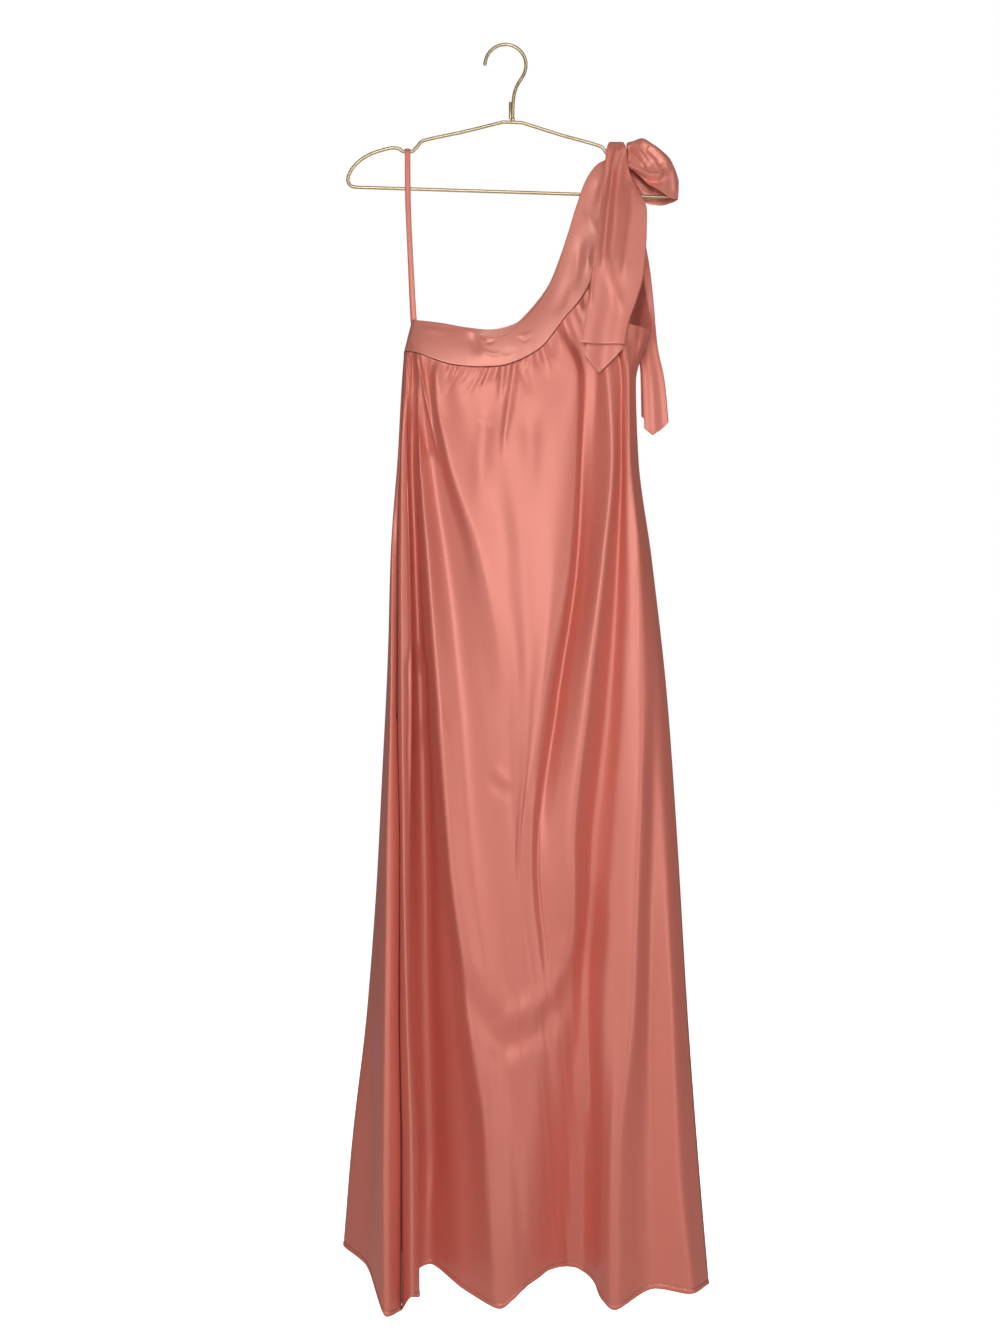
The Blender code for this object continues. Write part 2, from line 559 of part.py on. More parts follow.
def addHanger(metal, group):
    """The bent frame, tilted towards the tied shoulder, and the hook welded above it."""
    half = curveAt(HALF_FRAME, np.linspace(0, len(HALF_FRAME) - 1, FRAME_POINTS))
    mirrored = [(-x, z) for x, z in half[::-1]]
    frame = addWire("hanger_frame", [*half, *mirrored], True, metal, group)
    frame.location = (APEX[0] * MM, 0, APEX[1] * MM)
    frame.rotation_euler.y = math.radians(TILT)
    angles = np.radians(np.linspace(HOOK_START, HOOK_END, HOOK_POINTS))
    middle = WIRE / 2 - HOOK_RADIUS
    circle = [(HOOK_RADIUS * math.cos(a), middle + HOOK_RADIUS * math.sin(a)) for a in angles]
    addWire("hanger_hook", [*circle, *HOOK_NECK], False, metal, group)
    x, y, foot = STUB_PLACE
    bpy.ops.mesh.primitive_cylinder_add(vertices=STUB_SIDES, radius=WIRE / 2 * MM, depth=STUB_LENGTH * MM,
                                        location=(x * MM, y * MM, (foot + STUB_LENGTH / 2) * MM))
    stub = bpy.context.object
    stub.name = stub.data.name = "hanger_stub"
    finish(stub, metal, group)


def main():
    clearScene()
    group = makeCollection("one-shoulder dress")
    satin, bandSatin, tieSatin, ribbon, tape, metal = map(makeMaterial, COLOURS)
    addPanels(satin, tape, group)
    front = seamStations(FRONT_FOLDS, FRONT_CORNER)
    addBand("front_band", FRONT_BAND, front, -1, bandSatin, group)
    last = BACK_SHOULDER + BACK_CORNER
    back = last - seamStations(backFolds(), last)[::-1]
    addBand("back_band", BACK_BAND, back[back <= BACK_SHOULDER], 1, bandSatin, group)
    addTail("tie_front_tail", FRONT_TAIL, FRONT_TAIL_END, FRONT_TAIL_RIPPLE, -1, tieSatin, group)
    addTail("tie_back_tail", BACK_TAIL, BACK_TAIL_END, BACK_TAIL_RIPPLE, 1, tieSatin, group)
    addBow(tieSatin, group)
    addKnot(tieSatin, group)
    addRibbon(ribbon, group)
    addHanger(metal, group)


main()
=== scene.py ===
import math
from collections import namedtuple

import bpy
import numpy as np
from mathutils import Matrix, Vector


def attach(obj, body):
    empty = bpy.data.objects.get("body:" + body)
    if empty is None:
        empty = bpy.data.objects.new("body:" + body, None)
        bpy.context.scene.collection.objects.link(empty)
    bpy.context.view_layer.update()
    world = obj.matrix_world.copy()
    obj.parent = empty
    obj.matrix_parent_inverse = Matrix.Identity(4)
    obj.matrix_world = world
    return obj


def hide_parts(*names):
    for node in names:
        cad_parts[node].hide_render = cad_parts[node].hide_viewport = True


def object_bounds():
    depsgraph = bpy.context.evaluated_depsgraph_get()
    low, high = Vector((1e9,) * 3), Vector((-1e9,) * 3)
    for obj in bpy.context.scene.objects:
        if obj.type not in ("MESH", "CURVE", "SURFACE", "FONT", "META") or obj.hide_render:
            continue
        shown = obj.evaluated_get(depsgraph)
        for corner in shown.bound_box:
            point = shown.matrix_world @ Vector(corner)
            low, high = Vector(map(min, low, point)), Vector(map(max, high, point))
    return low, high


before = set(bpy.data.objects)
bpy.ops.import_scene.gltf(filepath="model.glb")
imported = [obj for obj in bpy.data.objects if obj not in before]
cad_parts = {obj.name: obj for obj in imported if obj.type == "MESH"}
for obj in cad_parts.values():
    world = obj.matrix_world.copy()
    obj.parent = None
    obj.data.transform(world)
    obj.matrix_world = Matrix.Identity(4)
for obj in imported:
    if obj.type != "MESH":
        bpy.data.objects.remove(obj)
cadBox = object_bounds()
bpy.ops.object.select_all(action="DESELECT")
mm = 0.001

# The photograph's view: one pixel is pixelSize mm on the plane of the hanger
view = {
    "pixelsHigh": 1333,
    "pixelSize": 1.28,
    "distance": 2600,
    "aimX": -7.04,
    "aimZ": -793.9,
    "sensor": 36,
}


# smooth curves

def slopes(knots, values):  # slopes that never let the curve swing past its knots
    step = np.diff(knots)[:, None]
    rise = np.diff(values, axis=0) / step
    before, after = rise[:-1], rise[1:]
    first, second = step[:-1], step[1:]
    weight = (first + 2 * second) * before + (2 * first + second) * after
    same = before * after > 0
    inner = np.where(same, 3 * (first + second) * before * after / np.where(same, weight, 1), 0)
    return np.vstack([rise[:1], inner, rise[-1:]])


def glide(knots, values, places):
    knots = np.asarray(knots, float)
    values = np.asarray(values, float)
    tangents = slopes(knots, values)
    span = np.clip(np.searchsorted(knots, places, side="right") - 1, 0, len(knots) - 2)
    width = (knots[span + 1] - knots[span])[:, None]
    t = (places[:, None] - knots[span][:, None]) / width
    return (values[span] * (1 + 2 * t) * (1 - t) ** 2 + tangents[span] * width * t * (1 - t) ** 2
            + values[span + 1] * t * t * (3 - 2 * t) - tangents[span + 1] * width * t * t * (1 - t))


def curveAt(points, places):
    return glide(np.arange(len(points)), points, np.asarray(places, float))


def unit(vectors):
    return vectors / np.maximum(np.linalg.norm(vectors, axis=-1, keepdims=True), 1e-9)


def squareTo(vectors, along):
    return unit(vectors - (vectors * along).sum(axis=1, keepdims=True) * along)


def totals(steps):  # running sum that starts at nought
    return np.concatenate([[0], np.cumsum(steps)])


def onPath(path, lengths, places):
    return np.column_stack([np.interp(places, lengths, path[:, axis]) for axis in range(3)])


def heightsAbove(sheet):  # how far up the cloth each point is from the lower edge
    steps = np.linalg.norm(np.diff(sheet, axis=0), axis=2)
    return np.vstack([np.cumsum(steps[::-1], axis=0)[::-1], np.zeros(sheet.shape[1])])


# creases: each mark is a line on the cloth as X and Z in mm, its width, and how far it stands out

def outward(sheet):
    return unit(np.cross(np.gradient(sheet, axis=0), np.gradient(sheet, axis=1)))


def markRelief(x, z, mark, fades):
    points, width, rise = mark
    path = np.array(points, float)
    lengths = totals(np.hypot(*np.diff(path, axis=0).T))
    best = np.full(x.shape, 1e9)
    along = np.zeros(x.shape)
    for start, end, length in zip(path[:-1], path[1:], lengths[:-1]):
        run = end - start
        share = ((x - start[0]) * run[0] + (z - start[1]) * run[1]) / (run @ run)
        share = np.clip(share, 0, 1)
        away = np.hypot(x - start[0] - share * run[0], z - start[1] - share * run[1])
        nearer = away < best
        best = np.where(nearer, away, best)
        along = np.where(nearer, (length + share * math.hypot(*run)) / lengths[-1], along)
    fade = np.clip(along / fades[0], 0, 1) * np.clip((1 - along) / fades[1], 0, 1)
    return rise * np.exp(-(best / width) ** 2) * fade * fade * (3 - 2 * fade)


def crease(sheet, marks, side, fades=(0.35, 0.6)):
    normal = outward(sheet)
    facing = np.clip(side * normal[:, :, 1], 0, 1)
    relief = sum(markRelief(sheet[:, :, 0], sheet[:, :, 2], mark, fades) for mark in marks)
    sheet += normal * (relief * facing)[:, :, None]


rippleSizes = {
    "waves": 9,
    "widths": (22, 75),
    "lengths": (260, 900),
    "lean": 0.12,
    "edge": 14,
}


def ripple(sheet, seed, size):  # long soft waves that run down the cloth
    made = rippleSizes
    chance = np.random.default_rng(seed)
    across = np.cumsum(np.linalg.norm(np.diff(sheet, axis=1, prepend=sheet[:, :1]), axis=2), axis=1)
    across = across.mean(axis=0)[None]
    fall = sheet[:, :, 2]
    relief = np.zeros(fall.shape)
    for _ in range(made["waves"]):
        width, length = chance.uniform(*made["widths"]), chance.uniform(*made["lengths"])
        turn, lean = chance.uniform(0, math.tau), chance.uniform(-made["lean"], made["lean"])
        wave = np.sin(math.tau * ((across + lean * fall) / width) + turn)
        relief += wave * np.sin(math.tau * fall / length + turn * 2) * width / made["widths"][1]
    edge = np.minimum(across - across.min(), across.max() - across)
    relief *= np.clip(edge / made["edge"], 0, 1) * size / made["waves"] ** 0.5
    sheet += outward(sheet) * relief[:, :, None]


# making a mesh of cloth or of wire

def finishPiece(piece, material, node=None):
    piece.data.materials.append(material)
    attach(piece, "root")
    if node:
        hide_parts(node)
    piece.select_set(False)


def roundEdges(piece, width, segments):
    edge = piece.modifiers.new("Edge", "BEVEL")
    edge.width = width * mm
    edge.segments = segments
    edge.limit_method = "ANGLE"
    bpy.ops.object.modifier_apply(modifier="Edge")


def addCloth(name, places, wall, material, node, rounded=0.0):
    down, across = places.shape[0] - 1, places.shape[1] - 1
    bpy.ops.mesh.primitive_grid_add(x_subdivisions=across, y_subdivisions=down, size=1)
    cloth = bpy.context.object
    cloth.name = cloth.data.name = name
    mesh = cloth.data
    grid = np.empty(len(mesh.vertices) * 3)
    mesh.vertices.foreach_get("co", grid)
    grid = grid.reshape(-1, 3)
    column = np.rint((grid[:, 0] + 0.5) * across).astype(int)
    row = np.rint((0.5 - grid[:, 1]) * down).astype(int)
    mesh.vertices.foreach_set("co", (places[row, column] * mm).ravel())
    stepAcross = np.linalg.norm(np.diff(places, axis=1), axis=2)
    up = heightsAbove(places) * mm
    over = totals(stepAcross.mean(axis=0)) * mm
    corner = np.empty(len(mesh.loops), int)
    mesh.loops.foreach_get("vertex_index", corner)
    spots = np.column_stack([over[column[corner]], up[row[corner], column[corner]]])
    mesh.uv_layers[0].data.foreach_set("uv", spots.ravel())
    diagonals = places[1:, 1:] - places[:-1, :-1], places[1:, :-1] - places[:-1, 1:]
    area = np.linalg.norm(np.cross(*diagonals), axis=2).sum() / 2 * mm * mm
    solid = cloth.modifiers.new("Wall", "SOLIDIFY")
    solid.thickness = wall * mm
    solid.offset = -1
    bpy.ops.object.modifier_apply(modifier="Wall")
    if rounded:
        roundEdges(cloth, rounded, 2)
    bpy.ops.object.shade_smooth()
    cloth.data.materials.clear()
    finishPiece(cloth, material, node)
    print(f"{name}: {stepAcross[-1].sum():.0f} mm round its end, {up[0].max():.3f} m long, "
          f"{area:.3f} square metres, {len(cloth.data.polygons)} faces")
    return cloth


def addTube(name, points, radius, resolution, closed):
    bpy.ops.curve.primitive_nurbs_path_add()
    tube = bpy.context.object
    tube.name = tube.data.name = name
    curve = tube.data
    curve.splines.clear()
    spline = curve.splines.new("POLY")
    spline.points.add(len(points) - 1)
    for point, place in zip(spline.points, points):
        point.co = (*[value * mm for value in place], 1)
    spline.use_cyclic_u = closed
    curve.bevel_depth = radius * mm
    curve.bevel_resolution = resolution
    curve.use_fill_caps = not closed
    bpy.ops.object.convert(target="MESH")
    tube = bpy.context.object
    bpy.ops.object.mode_set(mode="EDIT")
    bpy.ops.mesh.select_all(action="SELECT")
    bpy.ops.mesh.remove_doubles(threshold=0.00001)
    bpy.ops.mesh.normals_make_consistent(inside=False)
    bpy.ops.object.mode_set(mode="OBJECT")
    bpy.ops.object.shade_smooth_by_angle(angle=math.radians(50))
    tube.select_set(False)
    return tube


# materials

satinFinish = {
    "colour": (0.67, 0.165, 0.121, 1),
    "paleColour": (0.70, 0.190, 0.142, 1),
    # per-part multipliers on the satin colour: band, tie and bow are lighter copies of the same satin,
    # painted light standing in for lamp light they miss; panel and ribbon keep about the base colour
    "paintedLightTints": {"panel": (1, 1, 1), "band": (1.12, 1.42, 1.48), "tie": (1.0, 1.06, 1.08),
              "bow": (1.2, 1.5, 1.55), "ribbon": (0.98, 1.0, 1.0)},
    "roughness": (0.38, 0.48),
    "metallic": 0.16,
    "specular": 0.8,
    "specularTint": (1.0, 0.84, 0.72, 1),
    "ior": 1.6,
    "sheen": 0.06,
    "sheenRoughness": 0.4,
    "threadsPerMetre": 2600,
    "threadStretch": 0.07,
    "threadHeight": 0.035,
    "crumplesPerMetre": 16,
    "crumpleStretch": 0.3,
    "crumpleTwist": 0.4,
    "patchesPerMetre": 6,
    "bump": 0.0011,
    "stitchLength": 0.0032,
    "stitchShare": 0.72,
    "stitchHeight": 0.0062,
    "stitchHalfWidth": 0.00032,
    "stitchDepth": 0.2,
    "stitchShade": 0.6,
}

wireFinish = {
    "colour": (0.56, 0.43, 0.24, 1),
    "paleColour": (0.66, 0.53, 0.33, 1),
    "roughness": (0.22, 0.36),
    "metallic": 0.65,
    "patchesPerMetre": 45,
    "scratchesPerMetre": 900,
    "bump": 0.00006,
}

tapeFinish = {
    "colour": (0.38, 0.11, 0.08, 1),
    "paleColour": (0.50, 0.16, 0.12, 1),
    "roughness": 0.7,
    "ribScale": 500,
    "bump": 0.0002,
}


def setInputs(tree, node, inputs):  # each is a plain value or another node's output
    for name, value in inputs.items():
        if hasattr(value, "is_output"):
            tree.links.new(value, node.inputs[name])
        else:
            node.inputs[name].default_value = value


def addNode(tree, kind, inputs, **settings):
    node = tree.nodes.new(kind)
    for name, value in settings.items():
        setattr(node, name, value)
    setInputs(tree, node, inputs)
    return node.outputs


def addMath(tree, operation, *values):
    return addNode(tree, "ShaderNodeMath", dict(enumerate(values)), operation=operation)[0]


def addStretch(tree, place, amount):
    inputs = {0: place, 1: (1, amount, 1)}
    return addNode(tree, "ShaderNodeVectorMath", inputs, operation="MULTIPLY")[0]


def addNoise(tree, place, scale, detail=2, twist=0):
    inputs = {"Vector": place, "Scale": scale, "Detail": detail, "Distortion": twist}
    return addNode(tree, "ShaderNodeTexNoise", inputs)["Fac"]


def addBlend(tree, share, first, second):
    inputs = {"Factor": share, "A": first, "B": second}
    return addNode(tree, "ShaderNodeMix", inputs, data_type="RGBA")["Result"]


def addGloss(tree, value, roughness):
    inputs = {"Value": value, "To Min": roughness[0], "To Max": roughness[1]}
    return addNode(tree, "ShaderNodeMapRange", inputs)[0]


def addBump(tree, height, distance):
    return addNode(tree, "ShaderNodeBump", {"Height": height, "Distance": distance})[0]


def newGroup(name, inputs, outputs):
    tree = bpy.data.node_groups.new(name, "ShaderNodeTree")
    tree.interface.new_socket("Place", in_out="INPUT", socket_type="NodeSocketVector")
    for socket in inputs:
        tree.interface.new_socket(socket, in_out="INPUT", socket_type="NodeSocketFloat")
    for socket in outputs:
        tree.interface.new_socket(socket, in_out="OUTPUT", socket_type="NodeSocketFloat")
    return tree, addNode(tree, "NodeGroupInput", {})


def newMaterial(name):
    material = bpy.data.materials.new(name)
    material.use_nodes = True
    return material, material.node_tree, material.node_tree.nodes["Principled BSDF"]


def makeWeave():  # threads, soft crumples and a patchy shade, all on the piece's own UV map
    made = satinFinish
    tree, given = newGroup("satinWeave", ("Threads", "Crumples"), ("Height", "Shade", "Gloss"))
    place = given["Place"]
    threads = addNoise(tree, addStretch(tree, place, made["threadStretch"]), given["Threads"], 1)
    crumples = addNoise(tree, addStretch(tree, place, made["crumpleStretch"]), given["Crumples"],
                        twist=made["crumpleTwist"])
    fine = addMath(tree, "MULTIPLY", threads, made["threadHeight"])
    addNode(tree, "NodeGroupOutput", {
        "Height": addMath(tree, "ADD", crumples, fine),
        "Shade": addNoise(tree, place, made["patchesPerMetre"]),
        "Gloss": threads,
    })
    return tree


def makeStitchRow():  # a dashed line at one height above a piece's lower edge
    made = satinFinish
    tree, given = newGroup("hemStitches", ("Height", "Length"), ("Stitch",))
    split = addNode(tree, "ShaderNodeSeparateXYZ", {0: given["Place"]})
    away = addMath(tree, "ABSOLUTE", addMath(tree, "SUBTRACT", split["Y"], given["Height"]))
    near = addMath(tree, "LESS_THAN", away, made["stitchHalfWidth"])
    turns = addMath(tree, "DIVIDE", split["X"], given["Length"])
    dash = addMath(tree, "LESS_THAN", addMath(tree, "FRACT", turns), made["stitchShare"])
    addNode(tree, "NodeGroupOutput", {"Stitch": addMath(tree, "MULTIPLY", near, dash)})
    return tree


def makeSatin(part, hemmed=False):
    made = satinFinish
    material, tree, shader = newMaterial(f"{part} satin")
    # the part's painted-light lift on the satin colour (lighter for band, tie and bow)
    paintedLightTint = (*made["paintedLightTints"][part], 1)
    place = addNode(tree, "ShaderNodeUVMap", {})[0]
    cloth = addNode(tree, "ShaderNodeGroup", {
        "Place": place,
        "Threads": made["threadsPerMetre"],
        "Crumples": made["crumplesPerMetre"],
    }, node_tree=weave)
    shades = [[c * t for c, t in zip(made[name], paintedLightTint)] for name in ("colour", "paleColour")]
    colour = addBlend(tree, cloth["Shade"], *shades)
    height = cloth["Height"]
    if hemmed:
        stitch = addNode(tree, "ShaderNodeGroup", {
            "Place": place,
            "Height": made["stitchHeight"],
            "Length": made["stitchLength"],
        }, node_tree=stitches)["Stitch"]
        thread = [c * made["stitchShade"] for c in made["colour"][:3]]
        colour = addBlend(tree, stitch, colour, (*thread, 1))
        height = addMath(tree, "SUBTRACT", height, addMath(tree, "MULTIPLY", stitch, made["stitchDepth"]))
    setInputs(tree, shader, {
        "Base Color": colour,
        "Metallic": made["metallic"],
        "Roughness": addGloss(tree, cloth["Gloss"], made["roughness"]),
        "IOR": made["ior"],
        "Specular IOR Level": made["specular"],
        "Specular Tint": made["specularTint"],
        "Sheen Weight": made["sheen"],
        "Sheen Roughness": made["sheenRoughness"],
        "Normal": addBump(tree, height, made["bump"]),
    })
    return material


def makeWireMetal():  # champagne plating with fine scratches
    made = wireFinish
    material, tree, shader = newMaterial("champagne wire")
    place = addNode(tree, "ShaderNodeTexCoord", {})["Object"]
    patches = addNoise(tree, place, made["patchesPerMetre"])
    scratches = addNoise(tree, place, made["scratchesPerMetre"])
    setInputs(tree, shader, {
        "Base Color": addBlend(tree, patches, made["colour"], made["paleColour"]),
        "Metallic": made["metallic"],
        "Roughness": addGloss(tree, scratches, made["roughness"]),
        "Normal": addBump(tree, scratches, made["bump"]),
    })
    return material


def makeZipTape():  # woven tape: a fine crosswise rib
    made = tapeFinish
    material, tree, shader = newMaterial("zip tape")
    inputs = {"Vector": addNode(tree, "ShaderNodeUVMap", {})[0], "Scale": made["ribScale"]}
    rib = addNode(tree, "ShaderNodeTexWave", inputs, bands_direction="Y")["Fac"]
    setInputs(tree, shader, {
        "Base Color": addBlend(tree, rib, made["colour"], made["paleColour"]),
        "Roughness": made["roughness"],
        "Normal": addBump(tree, rib, made["bump"]),
    })
    return material


weave = makeWeave()
stitches = makeStitchRow()
hemmedSatin = makeSatin("panel", True)
# band, tie and bow satins are lighter copies of the panel satin: painted light
bandSatin = makeSatin("band")
tieSatin = makeSatin("tie")
bowSatin = makeSatin("bow")
ribbonSatin = makeSatin("ribbon")
wireMetal = makeWireMetal()
zipTape = makeZipTape()
print("materials made")

# the bands: lower edge and neck edge at each station from the side seam to the wire

bands = {
    "wall": 1.5,
    "rows": 26,
    "columnsPerStation": 11,
    "fullness": 1.5,
    "endGap": 1.3,
    "roundedEdge": 0.45,
    "frontCorner": 13,
    "backCorner": 4,
    "backShoulder": 12,
    "front": (
        ((-130, -3, -391), (-120, -1.5, -350)), ((-126, -14, -392), (-115, -8, -351.5)),
        ((-110, -24, -396), (-101, -12, -354)), ((-90, -27, -404), (-83, -15, -357)),
        ((-65, -28, -411), (-53, -20, -364)), ((-34, -29, -414), (-32, -25, -373)),
        ((-8, -29, -413), (-17, -27, -377)), ((11, -29, -408), (-2, -27, -374)),
        ((30, -28, -399), (14, -24, -362)), ((46, -27, -388), (30, -20, -347)),
        ((61, -26, -370), (46, -17, -326)), ((77, -24, -348), (55, -15, -310)),
        ((93, -22, -330), (67, -14, -284)), ((109, -20, -302), (77, -12, -250)),
        ((124, -17, -252), (90, -11, -207)), ((134, -15, -207), (103, -10, -172)),
        ((143, -12, -172), (117, -9, -153)), ((149, -8, -149), (129, -8, -146)),
        ((149.5, -6.6, -142), (132.5, -6.6, -141)), ((149.5, -3.6, -138), (134.5, -3.6, -138)),
        ((149.5, -1.2, -137), (134.5, -1.2, -137)),
    ),
    "back": (
        ((-130, -3, -391), (-120, -1.5, -350)), ((-127.5, 8, -388), (-117, 5, -349)),
        ((-116, 19, -385), (-107, 12, -349)), ((-92, 25, -386), (-82, 18, -351)),
        ((-54, 28, -392), (-54, 24, -355)), ((-21, 28, -396), (-21, 27, -358)),
        ((12, 28, -391), (11, 25, -351)), ((46, 27, -372), (30, 21, -335)),
        ((78, 24, -337), (56, 16, -301)), ((107, 20, -298), (70, 13, -267)),
        ((122, 17, -258), (82, 12, -231)), ((132, 14, -220), (96, 11, -190)),
        ((146, 10, -180), (112, 9.5, -158)), ((149, 8, -149), (129, 8, -146)),
        ((149.5, 6.6, -142), (132.5, 6.6, -141)), ((149.5, 3.6, -138), (134.5, 3.6, -138)),
        ((149.5, 1.2, -137), (134.5, 1.2, -137)),
    ),
}

bandMarks = {
    "front": (
        (((-44, -366), (-42, -378), (-36, -390), (-26, -400)), 7, -3.2),
        (((-37, -368), (-31, -374), (-24, -379), (-18, -383)), 2.4, -1.5),
        (((-33, -366), (-26, -372), (-20, -378)), 2.0, 1.3),
        (((-28, -384), (-18, -383), (-12, -378)), 2.2, -1.2),
        (((-34, -386), (-27, -395), (-15, -399), (2, -396)), 2.6, 1.1),
        (((-8, -398), (4, -397), (16, -390)), 2.2, -0.8),
        (((12, -372), (22, -376), (31, -372), (35, -364)), 2.2, 0.9),
        (((14, -376), (24, -381), (34, -374)), 2.4, -0.9),
        (((-112, -356), (-90, -361), (-62, -364), (-44, -368)), 2.8, -0.9),
        (((-112, -362), (-92, -367), (-66, -371)), 4.0, 0.8),
        (((-129, -373), (-127, -371), (-123.5, -373), (-119, -382), (-114, -392)), 1.6, 1.5),
        (((-125, -379), (-122, -384), (-120, -392)), 2.8, -2.4),
        (((-100, -358), (-80, -361), (-60, -364)), 3.2, 0.6),
        (((60, -352), (70, -330), (79, -305), (84, -282)), 7, -1.8),
        (((88, -322), (90, -290), (93, -262), (99, -235)), 6.5, -3.0),
        (((104, -296), (104, -268), (108, -244)), 5, 1.8),
        (((99, -212), (108, -228), (120, -246)), 4, 1.2),
        (((117, -170), (113, -196), (110, -222)), 5, -1.6),
        (((130, -158), (124, -180), (119, -214)), 4, 1.4),
    ),
    "back": (
        (((-96, -356), (-70, -366), (-50, -380)), 5, -1.4),
        (((-30, -362), (-22, -376), (-8, -388)), 6, -1.8),
        (((26, -342), (34, -352), (48, -362)), 5, 1.2),
        (((76, -282), (86, -296), (98, -306)), 6, -1.6),
        (((96, -226), (102, -246), (112, -262)), 5, 1.4),
        (((120, -170), (116, -192), (114, -214)), 5, -1.4),
    ),
}


def drawBack(sheet, amounts, columns):  # pulls each row's end in, eased over so many columns
    for row, amount in zip(sheet, amounts):
        strip = row[:columns + 1].copy()
        lengths = totals(np.linalg.norm(np.diff(strip, axis=0), axis=1))
        places = amount + lengths * (1 - amount / lengths[-1])
        row[:columns + 1] = onPath(strip, lengths, places)


def addBand(which, side):
    table = bands[which]
    last = len(table) - 1
    places = np.linspace(0, last, last * bands["columnsPerStation"] + 1)
    lower = curveAt([row[0] for row in table], places)
    neck = curveAt([row[1] for row in table], places)
    shares = np.linspace(0, 1, bands["rows"] + 1)[:, None, None]
    sheet = neck[None] * (1 - shares) + lower[None] * shares
    ends = np.clip(np.minimum(places, last - places) / 2, 0, 1)
    sheet[:, :, 1] += side * bands["fullness"] * np.sin(np.pi * shares[:, :, 0]) * ends[None]
    drawBack(sheet, np.full(len(sheet), bands["endGap"]), 2 * bands["columnsPerStation"])
    sheet = sheet[:, ::-side].copy()
    crease(sheet, bandMarks[which], side)
    return addCloth(f"{which}_band_cloth", sheet, bands["wall"], bandSatin,
                    f"{which}_band", bands["roundedEdge"])


frontBand = addBand("front", -1)
backBand = addBand("back", 1)
print("bands sewn")

# the panels: each fold line runs down the cloth, with its places at the levels, as in the part

levels = (-430, -525, -655, -835, -1035, -1225, -1420)
Fold = namedtuple("Fold", "name top x y hem pleats")

frontFolds = (
    Fold("side seam", 0.0, (-131, -134, -137, -137, -133, -133, -130),
         (-7, -11, -18, -30, -42, -50, -57), (-130, -60, -1599), 1),
    Fold("lobe ridge", 0.35, (-129, -132, -132, -130, -128, -123, -117),
         (-12, -17, -29, -44, -58, -70, -80), (-116, -84, -1575), 1),
    Fold("lobe edge", 0.7, (-126, -125, -121, -118, -120, -117, -108),
         (-15, -17, -24, -36, -48, -56, -62), (-107, -64, -1580), 1),
    Fold("lobe under", 1.0, (-123, -124, -124, -125, -125, -122, -116),
         (-15, -11, -12, -16, -20, -23, -26), (-115, -27, -1565), 1),
    Fold("deep valley", 1.3, (-120, -120, -116, -110, -107, -104, -99),
         (-14, -8, -6, -6, -6, -6, -6), (-96, -6, -1557), 1),
    Fold("left wall", 1.65, (-116, -115, -108, -97, -83, -68, -50),
         (-17, -13, -16, -21, -27, -32, -38), (-52, -42, -1579), 1),
    Fold("left ridge", 2.0, (-111, -109, -98, -84, -68, -44, -17),
         (-22, -23, -32, -44, -54, -64, -73), (-8, -80, -1591), 1),
    Fold("left hollow", 2.4, (-105, -96, -77, -56, -40, -17, 2),
         (-21, -16, -21, -36, -48, -59, -69), (8, -73, -1583), 1),
    Fold("corner foot", 2.8, (-98, -85, -55, -27, -16, 0, 14),
         (-23, -19, -27, -42, -51, -58, -63), (20, -64, -1574), 1),
    Fold("corner fold", 3.3, (-88, -73, -31, -1, 3, 13, 23),
         (-31, -35, -39, -47, -55, -60, -60), (31, -54, -1568), 2),
    Fold("front left", 4.5, (-52, -35, -5, 14, 12, 23, 32),
         (-27, -32, -39, -49, -57, -61, -56), (42, -42, -1564), 2),
    Fold("front middle", 6.2, (-4, 3, 21, 28, 17, 32, 43),
         (-29, -35, -43, -52, -60, -61, -48), (55, -26, -1559), 2),
    Fold("cowl ridge", 9.0, (66, 57, 55, 43, 20, 41, 56),
         (-31, -39, -46, -55, -61, -58, -36), (67, -14, -1559), 1),
    Fold("cowl edge", 10.2, (91, 90, 82, 55, 31, 49, 64),
         (-32, -36, -41, -49, -58, -54, -28), (73, -8, -1560), 1),
    Fold("cowl valley", 10.8, (101, 97, 91, 66, 42, 60, 73),
         (-17, -17, -19, -30, -46, -48, -20), (81, -4, -1561), 1),
    Fold("cowl floor", 11.5, (114, 110, 103, 81, 61, 71, 83),
         (-18, -20, -26, -42, -52, -44, -14), (90, -5, -1562), 1),
    Fold("bust ridge", 12.3, (130, 135, 124, 102, 83, 84, 96),
         (-27, -33, -41, -51, -56, -36, -12), (99, -9, -1566), 1),
    Fold("bust valley", 13.0, (147, 147, 142, 131, 111, 102, 110),
         (-20, -18, -19, -21, -24, -22, -24), (111, -30, -1572), 1),
    Fold("ridge foot", 14.2, (152, 153, 154, 150, 137, 125, 122),
         (-24, -25, -28, -34, -40, -46, -56), (120, -62, -1585), 1),
    Fold("right ridge", 15.5, (157, 158, 168, 170, 164, 157, 138),
         (-25, -26, -30, -37, -46, -56, -68), (136, -76, -1594), 1),
    Fold("right dip", 16.5, (161, 163, 177, 188, 185, 184, 185),
         (-17, -16, -20, -25, -30, -33, -37), (188, -40, -1578), 1),
    Fold("right swell", 17.2, (165, 167, 181, 198, 203, 208, 215),
         (-9, -9, -12, -16, -24, -33, -42), (231, -50, -1582), 1),
    Fold("right seam", 18.0, (167, 170, 187, 207, 221, 232, 246),
         (-1, -1, -1, -1, -2, -5, -9), (259, -14, -1580), 1),
)
